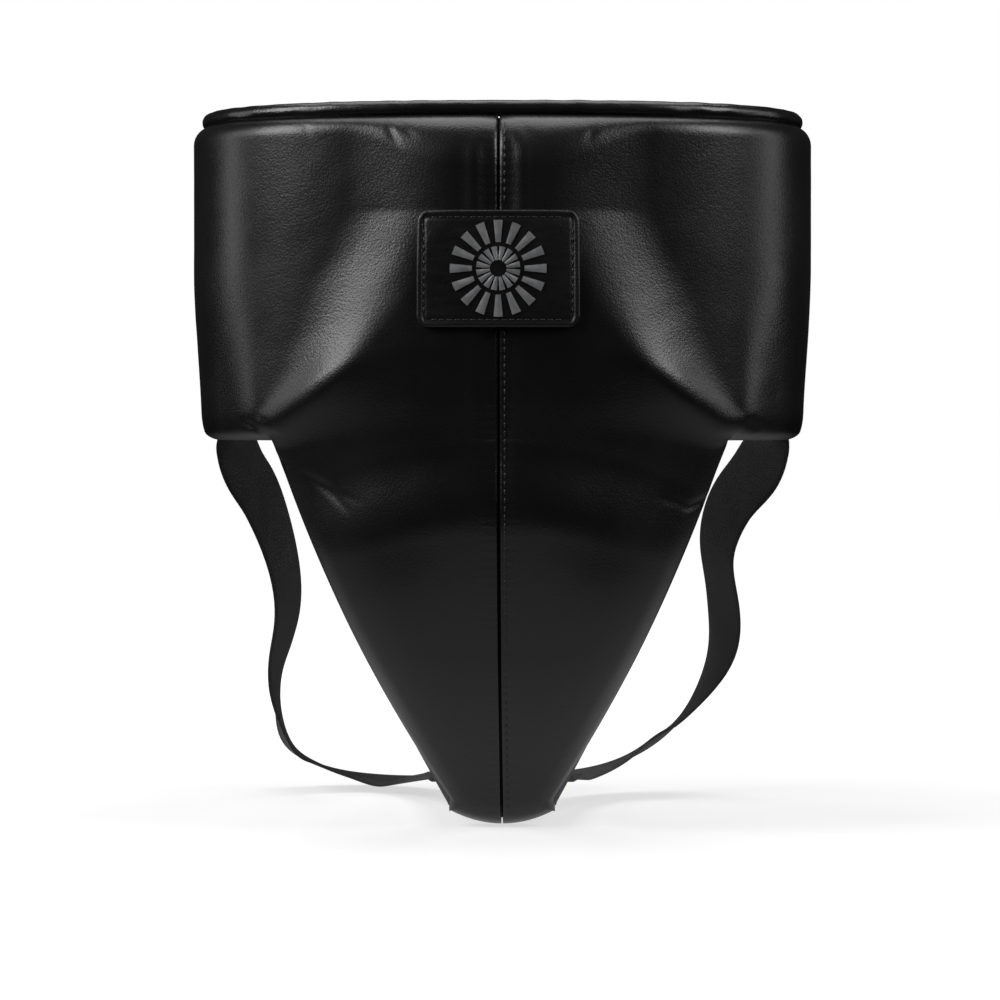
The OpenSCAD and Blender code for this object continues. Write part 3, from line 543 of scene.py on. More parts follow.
def leather_look(name, dark, light, roughness, pebble_size, wrinkle_scale, wrinkle_deep, coat):
    """Semi-gloss leather: grain and wrinkles as bump, tone and roughness that vary, and paler worn edges."""
    look, tree, shader, place = blank_look(name)
    hide = put(tree, "Group", {"node_tree": grain}, Place=place.outputs["Object"], Pebbles=1.0 / pebble_size,
               Wrinkles=wrinkle_scale)
    worn = put(tree, "Attribute", {"attribute_name": "wear"})
    scuff = calc(tree, "MULTIPLY", worn.outputs["Fac"], hide.outputs["Tone"])
    shade = blended(tree, hide.outputs["Tone"], (*dark, 1), (*light, 1))
    pale = tuple(3.0 * v for v in light) + (1,)
    tree.links.new(blended(tree, scuff, shade, pale), shader.inputs["Base Color"])
    rough = put(tree, "MapRange", Value=hide.outputs["Tone"], From_Min=0.3, From_Max=0.7,
                To_Min=roughness - 0.04, To_Max=roughness + 0.05)
    rougher = calc(tree, "MULTIPLY_ADD", scuff, 0.12, rough.outputs[0])
    tree.links.new(rougher, shader.inputs["Roughness"])
    wrinkled = put(tree, "Bump", Strength=1.0, Distance=wrinkle_deep, Height=hide.outputs["Fold"])
    grained = put(tree, "Bump", Strength=0.45, Distance=0.00016, Height=hide.outputs["Height"],
                  Normal=wrinkled.outputs[0])
    tree.links.new(grained.outputs[0], shader.inputs["Normal"])
    shader.inputs["Specular IOR Level"].default_value = 0.45
    shader.inputs["Coat Weight"].default_value = coat
    shader.inputs["Coat Roughness"].default_value = 0.30
    return look


leather = leather_look("shell_leather", (0.0042, 0.0042, 0.0046), (0.0075, 0.0075, 0.0082), 0.31, 0.0011, 38.0,
                       0.000012, 0.10)
for side, word in ((-1, "left"), (1, "right")):
    half = leather_half(side, "leather_" + word)
    half.data.materials.append(leather)
    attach(half, "shell")
    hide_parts(word + "_outer_panel")

# ---------------------------------------------------------------------------
# Centre seam: a sunken woven tape under the slit, and a row of waxed thread on its right side.
# The tape is sewn behind both halves; the thread is a lock stitch about four millimetres long.
# ---------------------------------------------------------------------------


def on_shell(piece, look, node):
    """Gives a piece its material and puts it on the shell in the place of a CAD node."""
    piece.data.materials.append(look)
    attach(piece, "shell")
    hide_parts(node)


def slab_faces(rows, cols):
    """The quads of two grids lying over each other and of the wall round their edge."""
    front = grid_faces(rows, cols)
    count = rows * cols
    grid = np.arange(count).reshape(rows, cols)
    rim = np.concatenate([grid[0, :-1], grid[:-1, -1], grid[-1, :0:-1], grid[:0:-1, 0]])
    after = np.roll(rim, -1)
    wall = np.stack([rim, rim + count, after + count, after], -1)
    return np.concatenate([front, front[:, ::-1] + count, wall])


def slab(name, outer, inner):
    """A closed sheet between two grids of points that have the same rows and columns."""
    points = np.concatenate([outer.reshape(-1, 3), inner.reshape(-1, 3)])
    return turned_out(mesh_piece(name, points, slab_faces(*outer.shape[:2])))


def lay_uv(piece, u, v):
    """A UV map in metres over a slab: u and v are given on its grid and serve both of its faces."""
    mesh = piece.data
    corner = np.zeros(len(mesh.loops), np.int32)
    mesh.loops.foreach_get("vertex_index", corner)
    both = np.stack(np.broadcast_arrays(u, v), -1).reshape(-1, 2)
    both = np.concatenate([both, both])
    mesh.uv_layers.new(name="UVMap").data.foreach_set("uv", both[corner].astype(np.float32).ravel())


# Weave: ribs along the cloth and picks across it, shifted by half from one rib to the next
weave, given, handed = effect("weave", [("Place", "Vector"), ("Rib", "Float"), ("Pick", "Float")],
                              ["Height", "Tone"])
parts = put(weave, "SeparateXYZ", Vector=given.outputs["Place"])
rib_place = calc(weave, "DIVIDE", parts.outputs["Y"], given.outputs["Rib"])
rib_up = calc(weave, "ABSOLUTE", calc(weave, "SINE", calc(weave, "MULTIPLY", rib_place, 3.14159)))
half_step = calc(weave, "MULTIPLY", calc(weave, "FLOOR", rib_place), 0.5)
pick_place = calc(weave, "ADD", calc(weave, "DIVIDE", parts.outputs["X"], given.outputs["Pick"]), half_step)
pick_up = calc(weave, "ABSOLUTE", calc(weave, "SINE", calc(weave, "MULTIPLY", pick_place, 3.14159)))
thread_up = calc(weave, "MULTIPLY_ADD", rib_up, 0.55, calc(weave, "MULTIPLY", pick_up, 0.45))
patchy = put(weave, "TexNoise", Vector=given.outputs["Place"], Scale=60.0, Detail=4.0)
weave.links.new(thread_up, handed.inputs["Height"])
weave.links.new(patchy.outputs["Fac"], handed.inputs["Tone"])


def cloth_look(name, dark, light, rib, pick, deep, roughness, sheen):
    """Woven cloth on a UV map in metres: threads as bump and as painted shade, darker in the grooves between them,
    patchy tone, and a soft sheen.
    """
    look, tree, shader, place = blank_look(name)
    cloth = put(tree, "Group", {"node_tree": weave}, Place=place.outputs["UV"], Rib=rib, Pick=pick)
    # painted shade: the colour is darker where the threads are low, in the grooves between them
    shade = calc(tree, "MULTIPLY", cloth.outputs["Height"], cloth.outputs["Tone"])
    tree.links.new(blended(tree, shade, (*dark, 1), (*light, 1)), shader.inputs["Base Color"])
    rough = put(tree, "MapRange", Value=cloth.outputs["Tone"], To_Min=roughness - 0.08, To_Max=roughness + 0.08)
    tree.links.new(rough.outputs[0], shader.inputs["Roughness"])
    raised = put(tree, "Bump", Strength=0.8, Distance=deep, Height=cloth.outputs["Height"])
    tree.links.new(raised.outputs[0], shader.inputs["Normal"])
    shader.inputs["Specular IOR Level"].default_value = 0.25
    shader.inputs["Sheen Weight"].default_value = sheen
    shader.inputs["Sheen Roughness"].default_value = 0.5
    return look


def plain_look(name, dark, light, roughness, size, deep, metallic=0.0, specular=0.5):
    """Two tones by a cloudy noise of a given size on Object coordinates, which also raises the face."""
    look, tree, shader, place = blank_look(name)
    cloud = put(tree, "TexNoise", Vector=place.outputs["Object"], Scale=1.0 / size, Detail=5.0, Roughness=0.6)
    tree.links.new(blended(tree, cloud.outputs["Fac"], (*dark, 1), (*light, 1)), shader.inputs["Base Color"])
    rough = put(tree, "MapRange", Value=cloud.outputs["Fac"], To_Min=roughness - 0.1, To_Max=roughness + 0.1)
    tree.links.new(rough.outputs[0], shader.inputs["Roughness"])
    raised = put(tree, "Bump", Strength=0.7, Distance=deep, Height=cloud.outputs["Fac"])
    tree.links.new(raised.outputs[0], shader.inputs["Normal"])
    shader.inputs["Metallic"].default_value = metallic
    shader.inputs["Specular IOR Level"].default_value = specular
    return look


tape_h = np.linspace(-CUP_DROP + 0.010, FLAP_H - 0.002, 200)[:, None]
tape_x = np.linspace(-0.0022, 0.0022, 5)[None, :]
tape_d = skin_depth(1, np.full_like(tape_h, SEAM_GAP), tape_h, np.minimum(tape_h + CUP_DROP, 0.05)) - 0.0022
tape_angle = np.sign(tape_x) * angle_of(np.abs(tape_x))
seam_tape = slab("seam_tape_cloth", wrap(tape_angle, tape_h, tape_d), wrap(tape_angle, tape_h, tape_d - 0.0010))
lay_uv(seam_tape, tape_h, tape_x)
tape_look = cloth_look("seam_tape", (0.004, 0.004, 0.004), (0.010, 0.010, 0.011), 0.0006, 0.0006, 0.0001,
                       0.85, 0.1)
on_shell(seam_tape, tape_look, "seam_tape")


def stitches(name, start, finish, up, width, height):
    """Thread bars from each start to its finish: an ellipse across, narrowed and sunk at both ends."""
    run = finish - start
    side = np.cross(run, up)
    side = side / np.linalg.norm(side, axis=-1, keepdims=True) * width / 2
    lift = up / np.linalg.norm(up, axis=-1, keepdims=True) * height / 2
    at = np.array([0.0, 0.14, 0.5, 0.86, 1.0])
    girth = np.array([0.45, 0.90, 1.0, 0.90, 0.45])
    sink = np.array([-0.7, -0.1, 0.0, -0.1, -0.7])
    turn = np.arange(6) * np.pi / 3
    middle = start[:, None, :] + run[:, None, :] * at[None, :, None] + lift[:, None, :] * sink[None, :, None]
    ring = (middle[:, :, None, :] + girth[None, :, None, None]
            * (side[:, None, None, :] * np.cos(turn)[None, None, :, None]
               + lift[:, None, None, :] * np.sin(turn)[None, None, :, None]))
    k, j = np.meshgrid(np.arange(4), np.arange(6), indexing="ij")
    a, b = (k * 6 + j).ravel(), (k * 6 + (j + 1) % 6).ravel()
    bar = np.concatenate([np.stack([a, b, b + 6, a + 6], -1),
                          [[3, 2, 1, 0], [5, 4, 3, 0], [24, 25, 26, 27], [24, 27, 28, 29]]])
    faces = (bar[None] + 30 * np.arange(len(start))[:, None, None]).reshape(-1, 4)
    return turned_out(mesh_piece(name, ring.reshape(-1, 3), faces))


def facing(point, u, v, step=0.0004):
    """Outward direction of a face given as point(u, v): the cross product of its steps along u and v."""
    across_step = point(u + step, v) - point(u - step, v)
    up_step = point(u, v + step) - point(u, v - step)
    normal = np.cross(across_step, up_step)
    return normal / np.linalg.norm(normal, axis=-1, keepdims=True)


thread = plain_look("thread", (0.010, 0.010, 0.011), (0.030, 0.030, 0.033), 0.45, 0.0006, 0.0001)
STITCH_X = 0.0029
STITCH_PITCH = 0.0040
label_low, label_high = heights("label_patch")
LABEL_H = label_high - label_low
LABEL_Z = (label_high + label_low) / 2 - FLAP_LOW


def on_front(x, h):
    """The leather's face right of the seam, at x and at a height over the flaps' lower edge."""
    return wrap(angle_of(x), h, skin_depth(1, np.abs(x), h, np.full(np.shape(h), 0.05)))


seam_h = np.arange(-CUP_DROP + 0.008, FLAP_H - 0.006, STITCH_PITCH)
seam_h = seam_h[np.abs(seam_h + 0.0014 - LABEL_Z) > LABEL_H / 2 + 0.002]
seam_at = np.full(len(seam_h), STITCH_X)
seam_up = facing(on_front, seam_at, seam_h)
seam_thread = stitches("seam_thread", on_front(seam_at, seam_h) + 0.0001 * seam_up,
                       on_front(seam_at, seam_h + 0.0029) + 0.0001 * seam_up, seam_up, 0.0008, 0.0007)
on_shell(seam_thread, thread, "seam_stitching")

# ---------------------------------------------------------------------------
# Top binding: a roll of thin glossy leather wrapped round a cotton cord along the whole top edge.
# It is sewn through just under the roll, and its two ends are closed round over the cord.
# ---------------------------------------------------------------------------
roll_low, roll_high = heights("top_binding")
ROLL_R = (roll_high - roll_low) / 2
ROLL_H = (roll_high + roll_low) / 2 - FLAP_LOW - 0.0016
ROLL_D = EDGE_T + 0.0002

ROLL_TURNS = 441  # rings along the roll, points round it, rings of an end cap
ROLL_SIDES = 28
CAP_RINGS = 7

roll_turn = np.linspace(-FLAP_END, FLAP_END, ROLL_TURNS)
roll_mid = wrap(roll_turn, ROLL_H, ROLL_D)
roll_out = np.stack(outward(roll_turn) + (0 * roll_turn,), -1)
cap = np.linspace(np.pi / 2, 0, CAP_RINGS + 1)[:-1]
first_way = (roll_mid[0] - roll_mid[1]) / np.linalg.norm(roll_mid[0] - roll_mid[1])
last_way = (roll_mid[-1] - roll_mid[-2]) / np.linalg.norm(roll_mid[-1] - roll_mid[-2])
roll_mid = np.concatenate([roll_mid[:1] + first_way * ROLL_R * 0.8 * np.sin(cap)[:, None], roll_mid,
                           roll_mid[-1:] + last_way * ROLL_R * 0.8 * np.sin(cap[::-1])[:, None]])
roll_out = np.pad(roll_out, ((CAP_RINGS, CAP_RINGS), (0, 0)), mode="edge")
roll_r = np.concatenate([np.cos(cap), np.ones(ROLL_TURNS), np.cos(cap[::-1])]) * (ROLL_R - 0.0001)
roll_r = np.maximum(roll_r, 0.0002)[:, None]
roll_run = run_along(roll_mid)[:, None]
roll_round = np.arange(ROLL_SIDES)[None, :] * 2 * np.pi / ROLL_SIDES
girth = roll_r * roll_round
dents = 0.00009 * waves(roll_run, girth, 0.020, 11) + 0.00004 * waves(roll_run, 2 * girth, 0.008, 12)
tuck = 0.0005 * np.exp(-((roll_round - 4.55) / 0.30) ** 2)
roll_r = roll_r + dents * (roll_r > 0.003) - tuck


def closed_tube(name, middle, out, radius, angles):
    """A tube round a path: each ring is the outward and the upright direction turned through the angles."""
    points = (middle[:, None, :] + out[:, None, :] * (radius * np.cos(angles))[..., None]
              + np.array([0, 0, 1.0]) * (radius * np.sin(angles))[..., None])
    rings, sides = points.shape[:2]
    i, j = np.meshgrid(np.arange(rings - 1), np.arange(sides), indexing="ij")
    near, beside = (i * sides + j).ravel(), (i * sides + (j + 1) % sides).ravel()
    faces = np.stack([near, beside, beside + sides, near + sides], -1).tolist()
    faces += [list(range(sides)), list(range((rings - 1) * sides, rings * sides))]
    return turned_out(mesh_piece(name, points, faces))


top_roll = closed_tube("top_roll", roll_mid, roll_out, roll_r, roll_round)
roll_leather = leather_look("binding_leather", (0.0040, 0.0040, 0.0044), (0.0080, 0.0080, 0.0086), 0.27, 0.0009,
                            70.0, 0.00002, 0.2)
on_shell(top_roll, roll_leather, "top_binding")


def on_flank(a, h):
    """The leather's face at angle a round the waist, on either half."""
    near_top = np.minimum(FLAP_H - h, 0.05)
    return wrap(a, h, skin_depth(1, along(np.abs(a)), h, near_top))


bind_turn = np.linspace(0, FLAP_END - 0.03, 1500)
run = run_along(wrap(bind_turn, FLAP_H, 0.008))
bind_run = np.arange(0.003, run[-1] - 0.004, 0.0034)
bind_a = np.interp(bind_run, run, bind_turn)
bind_b = np.interp(bind_run + 0.0024, run, bind_turn)
bind_a, bind_b = np.concatenate([bind_a, -bind_a]), np.concatenate([bind_b, -bind_b])
bind_h = np.full(len(bind_a), FLAP_H - 0.0020)
bind_up = facing(on_flank, bind_a, bind_h)
bind_thread = stitches("binding_thread", on_flank(bind_a, bind_h) + 0.0001 * bind_up,
                       on_flank(bind_b, bind_h) + 0.0001 * bind_up, bind_up, 0.0007, 0.0006)
on_shell(bind_thread, thread, "binding_stitching")

# the cotton cord inside the roll: three strands twisted round each other
cord_low, cord_high = heights("top_cord_core")
CORD_R = (cord_high - cord_low) / 2
inner = slice(CAP_RINGS + 1, -CAP_RINGS - 1)
strands = np.abs(np.cos(1.5 * (roll_round + roll_run[inner] / 0.006)))
cord = closed_tube("top_cord", roll_mid[inner], roll_out[inner], CORD_R * (0.90 + 0.08 * strands), roll_round)
cotton = plain_look("cotton_cord", (0.42, 0.38, 0.31), (0.62, 0.58, 0.50), 0.85, 0.0012, 0.0003)
on_shell(cord, cotton, "top_cord_core")

# ---------------------------------------------------------------------------
# Label: a rounded rectangle of creased leather with a turned edge, sewn over the seam on the belly.
# A silver foil rosette of sixteen long rays round sixteen short ones is pressed on it.
# ---------------------------------------------------------------------------
LABEL_W = 0.078
LABEL_R = 0.006
LABEL_T = 0.0020


def crowded(count, share):
    """Places from -1 to 1, closer together near both ends: a sine and a straight line added in shares."""
    return np.sin(np.linspace(-np.pi / 2, np.pi / 2, count)) * share + np.linspace(-1, 1, count) * (1 - share)


def label_x(v):
    """Half width of the rounded label at a height v over its centre."""
    over = np.maximum(0, np.abs(v) - (LABEL_H / 2 - LABEL_R))
    return LABEL_W / 2 - LABEL_R + np.sqrt(np.maximum(0, LABEL_R ** 2 - over ** 2))


def on_label(x, v, d):
    """A point over the label's place: x across, v up from its centre, d over the padding below."""
    spread = outward(angle_of(np.abs(x)))[0]
    a = np.sign(x) * angle_of(np.maximum(np.abs(x) - spread * BELLY_T, 0))
    h = LABEL_Z + v
    return wrap(a, h, padded_t(along(np.abs(a)), h, 0.05) + d)


def label_face(x, v):
    """Height of the label's face: a turned rim, fine wrinkles across, and slow waves."""
    to_side = np.minimum(label_x(v) - np.abs(x), LABEL_H / 2 - np.abs(v))
    rim = (1 - ease(0.0018, 0.0034, to_side)) * 0.00055
    wrinkle = 0.00007 * waves(0.35 * x, v, 0.0085, 21) + 0.00004 * waves(0.3 * x, v, 0.0040, 22)
    wrinkle = wrinkle * ease(0.002, 0.006, to_side)
    channel = 0.00035 * np.exp(-((to_side - 0.0036) / 0.0008) ** 2)
    return LABEL_T + rim + wrinkle + 0.00012 * waves(x, v, 0.03, 23) - channel


label_near = np.array([0.0006, 0.0016, 0.0030]) / (LABEL_H / 2)
label_v = LABEL_H / 2 * np.concatenate([[-1], -1 + label_near, np.linspace(-0.86, 0.86, 76),
                                        1 - label_near[::-1], [1]])
label_u = crowded(121, 0.45)
lv = np.repeat(label_v[:, None], len(label_u), 1)
lx = label_u[None, :] * (label_x(lv) - 1e-5)
to_rim = np.minimum(label_x(lv) - np.abs(lx), LABEL_H / 2 - np.abs(lv))
label_top = label_face(lx, lv) * (0.45 + 0.55 * bulge(to_rim, 0.0009))
label = slab("label_leather", on_label(lx, lv, label_top + 0.0002), on_label(lx, lv, 0 * lx - 0.0004))
creased_leather = leather_look("label_leather", (0.0036, 0.0036, 0.0040), (0.0070, 0.0070, 0.0078), 0.38,
                               0.0009, 90.0, 0.00003, 0.05)
on_shell(label, creased_leather, "label_patch")

side_x, side_y = LABEL_W / 2 - 0.0036, LABEL_H / 2 - 0.0036
run_x = np.arange(-side_x + 0.0035, side_x - 0.0050, 0.0037)
run_y = np.arange(-side_y + 0.0035, side_y - 0.0050, 0.0037)
start_x = np.concatenate([run_x, run_x, np.full(len(run_y), side_x), np.full(len(run_y), -side_x)])
start_v = np.concatenate([np.full(len(run_x), side_y), np.full(len(run_x), -side_y), run_y, run_y])
step_x = np.concatenate([np.full(2 * len(run_x), 0.0026), np.zeros(2 * len(run_y))])
step_v = np.concatenate([np.zeros(2 * len(run_x)), np.full(2 * len(run_y), 0.0026)])


def on_label_face(x, v):
    """A point of the label's own face."""
    return on_label(x, v, label_face(x, v) + 0.0002)


label_up = facing(on_label_face, start_x, start_v)
label_start = on_label_face(start_x, start_v) + 0.0002 * label_up
label_end = on_label_face(start_x + step_x, start_v + step_v) + 0.0002 * label_up
label_thread = stitches("label_thread", label_start, label_end, label_up, 0.0007, 0.0006)
on_shell(label_thread, thread, "label_stitching")

# rosette: each ray is a curved bar between two radii, a little crowned along its middle
RAYS = 16  # in each of the two rings
RAY_POINTS = 30  # six along a ray and five across it

ray_turn = np.arange(RAYS) * 22.5
ray_mid = np.radians(np.concatenate([ray_turn, ray_turn + 11.25]))[:, None, None]
ray_in = np.repeat([0.0125, 0.0040], RAYS)[:, None, None]
ray_end = np.repeat([0.0230, 0.0105], RAYS)[:, None, None]
ray_half = np.radians(np.repeat([5.5, 8.0], RAYS))[:, None, None]
ray_s = np.linspace(0, 1, 6)[None, :, None]
ray_w = np.linspace(-1, 1, 5)[None, None, :]
ray_r = ray_in + (ray_end - ray_in) * ray_s
ray_a = ray_mid + ray_half * ray_w
ray_x, ray_v = ray_r * np.cos(ray_a), ray_r * np.sin(ray_a)
ray_up = 0.0005 + 0.00025 * (1 - ray_w ** 2) * np.sin(np.pi * np.clip(ray_s, 0.15, 0.85))
ray_face = label_face(ray_x, ray_v) + 0.0002
ray_top = on_label(ray_x, ray_v, ray_face + ray_up)
ray_low = on_label(ray_x, ray_v, ray_face - 0.0002)
ray_all = (slab_faces(6, 5)[None] + 2 * RAY_POINTS * np.arange(2 * RAYS)[:, None, None]).reshape(-1, 4)
ray_points = np.concatenate([ray_top.reshape(-1, RAY_POINTS, 3), ray_low.reshape(-1, RAY_POINTS, 3)], 1)
rosette = turned_out(mesh_piece("label_rosette", ray_points, ray_all))
rosette.data.set_sharp_from_angle(angle=np.radians(40))
silver = plain_look("badge_silver", (0.50, 0.51, 0.53), (0.82, 0.83, 0.85), 0.38, 0.004, 0.00006, 0.85)
on_shell(rosette, silver, "label_badge")

# ---------------------------------------------------------------------------
# Padding and rigid cup: shaped sheets of closed-cell foam fill the leather; inside the lower one, a hard
# moulded cup with a soft rubber cushion round its rim lies against the lining. All of it is hidden.
# ---------------------------------------------------------------------------
foam = plain_look("foam", (0.22, 0.23, 0.24), (0.34, 0.35, 0.36), 0.85, 0.0015, 0.0004)
UNDER_SKIN = 0.0030  # play kept under the leather and over the lining
OVER_LINING = 0.0044


def foam_sheet(name, node, a, h, e, low):
    """A pad between the leather and the lining, over a grid of angles, heights and distances to its edge."""
    g = along(np.abs(a))
    over = padded_t(g, h, e + 0.004) - UNDER_SKIN - 0.004 * np.exp(-(g / 0.004) ** 2)
    thick = np.maximum(over, low + 0.0008)
    pad = slab(name, wrap(a, h, low + (thick - low) * (0.15 + 0.85 * bulge(e, 0.006))), wrap(a, h, low))
    pad.data.materials.append(foam)
    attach(pad, "shell")
    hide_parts(node)


def square_edge(u, v, w, l):
    """Distance to the nearest border of a patch whose coordinates run 0 to 1, w wide and l tall."""
    return np.minimum(np.minimum(u, 1 - u) * w, np.minimum(v, 1 - v) * l)


pad_u, pad_v = np.meshgrid(np.linspace(0, 1, 61), np.linspace(0, 1, 41))
belly_h = 0.002 + pad_v * (FLAP_H - 0.008)
belly_g = (2 * pad_u - 1) * NOTCH_X
foam_sheet("belly_foam", "belly_pad", angle_of(belly_g), belly_h,
           square_edge(pad_u, pad_v, 2 * NOTCH_X, FLAP_H), OVER_LINING)
cup_h = -CUP_DROP + 0.010 + pad_v * (CUP_DROP - 0.011)
cup_g = (2 * pad_u - 1) * (cup_x(cup_h) - 0.006)
foam_sheet("cup_foam", "cup_pad", angle_of(cup_g), cup_h, square_edge(pad_u, pad_v, 0.10, CUP_DROP),
           hollow(cup_g, cup_h) + OVER_LINING)
flap_a = NOTCH_A + 0.01 + pad_u * (FLAP_END - NOTCH_A - 0.06)
flap_v = 0.005 + pad_v * (FLAP_H - 0.011)
for side, word in ((-1, "left"), (1, "right")):
    foam_sheet("flap_foam_" + word, word + "_flap_pad", side * flap_a, flap_v,
               square_edge(pad_u, pad_v, 0.14, FLAP_H), OVER_LINING)

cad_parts["hard_cup"].material_slots[0].material = plain_look(
    "cup_plastic", (0.60, 0.60, 0.56), (0.74, 0.74, 0.70), 0.35, 0.03, 0.0002)
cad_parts["cup_rim_cushion"].material_slots[0].material = plain_look(
    "rim_foam", (0.10, 0.11, 0.12), (0.17, 0.18, 0.19), 0.8, 0.0012, 0.0003)

# ---------------------------------------------------------------------------
# Lining: coated nylon cloth in three panels, glued over the foam and sewn to the turned-under leather.
# The front panel dips into the hollow of the cup.
# ---------------------------------------------------------------------------
LINING_T = 0.0012
INSET = 0.0030  # from the outline to the lining's edge
LINING_END = FLAP_END - 0.024
ARC = 0.12  # metres round the waist in one radian, roughly
lining_look = cloth_look("lining", (0.010, 0.010, 0.011), (0.045, 0.045, 0.050), 0.0007, 0.0007, 0.00010,
                         0.62, 0.15)


def lining_panel(name, node, a, h, e):
    """Cloth between two grids: the wearer's side lies on the plain surface and rolls in at its edge."""
    g = along(np.abs(a))
    dish = hollow(g, h)
    soft = 0.00030 * waves(a * ARC, h, 0.045, 31) * ease(0.0, 0.02, e)
    inner = wrap(a, h, dish + 0.0009 * (1 - bulge(e, 0.003)) + soft * 0.5 + 0.0002)
    panel = slab(name, wrap(a, h, dish + LINING_T + soft * 0.5 + 0.0002), inner)
    lay_uv(panel, h, g)
    panel.data.materials.append(lining_look)
    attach(panel, "shell")
    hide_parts(node)


line_h = np.concatenate([-CUP_DROP + INSET + edge_steps(0.003, 0.0030, CUP_DROP - INSET, both=False),
                         edge_steps(0.003, 0.0040, FLAP_H - INSET)[1:]])
line_u = np.concatenate([[-1, -0.985, -0.96], np.linspace(-0.92, 0.92, 79), [0.96, 0.985, 1]])
lh = np.repeat(line_h[:, None], len(line_u), 1)
line_half = np.where(lh < 0, cup_x(np.minimum(lh, 0)) - INSET, NOTCH_X - INSET * (1 - ease(0, 0.003, lh)))
lg = line_u[None, :] * line_half
lh = lh + TIP_ARC * np.clip(-lh / CUP_DROP, 0, None) ** 3 * (lg / (line_half + INSET)) ** 2
line_e = np.minimum(np.minimum(line_half - np.abs(lg), line_h[:, None] + CUP_DROP - INSET), FLAP_H - INSET - lh)
lining_panel("front_lining_cloth", "front_lining", angle_of(lg), lh, np.maximum(line_e, 0))
turn = np.linspace(NOTCH_A + 0.0006, LINING_END, 70)
flap_line_h = edge_steps(0.003, 0.0040, FLAP_H - 2 * INSET) + INSET
fh = np.repeat(flap_line_h[:, None], len(turn), 1)
fa = np.repeat(turn[None, :], len(flap_line_h), 0)
flap_path = np.sum(np.linalg.norm(np.diff(wrap(turn, 0.1, 0.0), axis=0), axis=1))
flap_edge = np.minimum(np.minimum(fh - INSET, FLAP_H - INSET - fh), (LINING_END - fa) * ARC)
for side, word in ((-1, "left"), (1, "right")):
    lining_panel("flap_lining_cloth_" + word, word + "_flap_lining", side * fa, fh, np.maximum(flap_edge, 0))

# ---------------------------------------------------------------------------
# Leg straps: ribbed elastic webbing 38 mm wide. The upper end is sewn in under the flap's edge, the lower
# end flat on the back of the lining above the tip. Each strap is cut in two pieces here, at mid-length,
# because its two ends stay with the shell while the loop between them swings.
# ---------------------------------------------------------------------------
STRAP_W = 0.038
STRAP_T = 0.0018
STRAP_A = np.radians(101.5)
ROOT_D = 0.0012 + 0.0003 + STRAP_T / 2
END_HIGH = 0.054 - CUP_DROP
END_LOW = 0.026 - CUP_DROP
# places of a strap's middle in millimetres, each with the direction across the webbing
LEFT_ROUTE = [
    (-139.5, 26, -79, 0.48, 0.87, 0), (-137, 29, -88, 0.48, 0.87, 0), (-131, 39, -101, 0.44, 0.90, 0),
    (-124, 52, -114, 0.38, 0.92, 0), (-114, 85, -157, 0.22, 0.97, 0), (-120, 106, -186, 0.2, 0.98, 0),
    (-123, 119, -203, 0.12, 0.99, 0), (-125, 130, -219, -0.04, 1, 0), (-122, 148, -245, -0.16, 0.98, -0.1),
    (-112, 157, -256, -0.1, 0.98, -0.12), (-96, 164, -264, 0, 1, -0.1), (-77, 166, -268, 0.1, 1, 0),
    (-56, 156, -269, 0.55, 0.83, 0.05), (-40, 130, -267, 0.92, 0.4, 0.05), (-28, 88, -266, 0.98, 0.2, 0),
    (-24, 36, -264, 1, 0.1, 0), (-22, 2, -258, 1, 0, 0), (-21, -8, -250, 1, 0, 0)]
RIGHT_ROUTE = [
    (139, 26, -79, -0.56, 0.83, 0), (135, 29, -88, -0.62, 0.78, 0), (126, 40, -101, -0.55, 0.83, 0),
    (117, 50, -113, -0.52, 0.85, 0), (110, 66, -135, -0.34, 0.94, 0), (115, 82, -157, -0.3, 0.95, 0),
    (117, 100, -179, -0.36, 0.93, 0), (113, 115, -199, -0.24, 0.97, 0), (105, 126, -216, -0.1, 0.99, 0),
    (95, 134, -231, 0.06, 1, 0), (84, 137, -242, 0.12, 0.98, -0.12), (63, 130, -254, 0, 0.98, -0.14),
    (41, 106, -262, -0.55, 0.83, -0.08), (29, 72, -266, -0.9, 0.4, 0), (25, 32, -264, -1, 0.1, 0),
    (22, 2, -258, -1, 0, 0), (21, -8, -250, -1, 0, 0)]
ROOT_LAID = np.array([0.1401, 0.0272, -0.079])
TIP_LAID = np.array([0.0196, -0.0203, -0.247])
webbing = cloth_look("webbing", (0.010, 0.010, 0.011), (0.050, 0.050, 0.053), 0.0011, 0.0011, 0.00022,
                     0.72, 0.10)


def on_back(x, h, d):
    """A point d behind the lining's back, at x and at a height over the flaps' lower edge."""
    return wrap(np.sign(x) * angle_of(np.abs(x)), h, hollow(np.abs(x), h) - d)


def through(p, n):
    """A smooth cubic curve through a list of points, n steps from each to the next."""
    a = np.concatenate([p[:1], p[:-1]])[:-1]
    b, c = p[:-1], p[1:]
    d = np.concatenate([p[2:], p[-1:]])
    t = (np.arange(n) / n)[None, :, None]
    a, b, c, d = a[:, None], b[:, None], c[:, None], d[:, None]
    curve = b + 0.5 * t * (c - a + t * (2 * a - 5 * b + 4 * c - d + t * (3 * (b - c) + d - a)))
    return np.concatenate([curve.reshape(-1, p.shape[1]), p[-1:]])


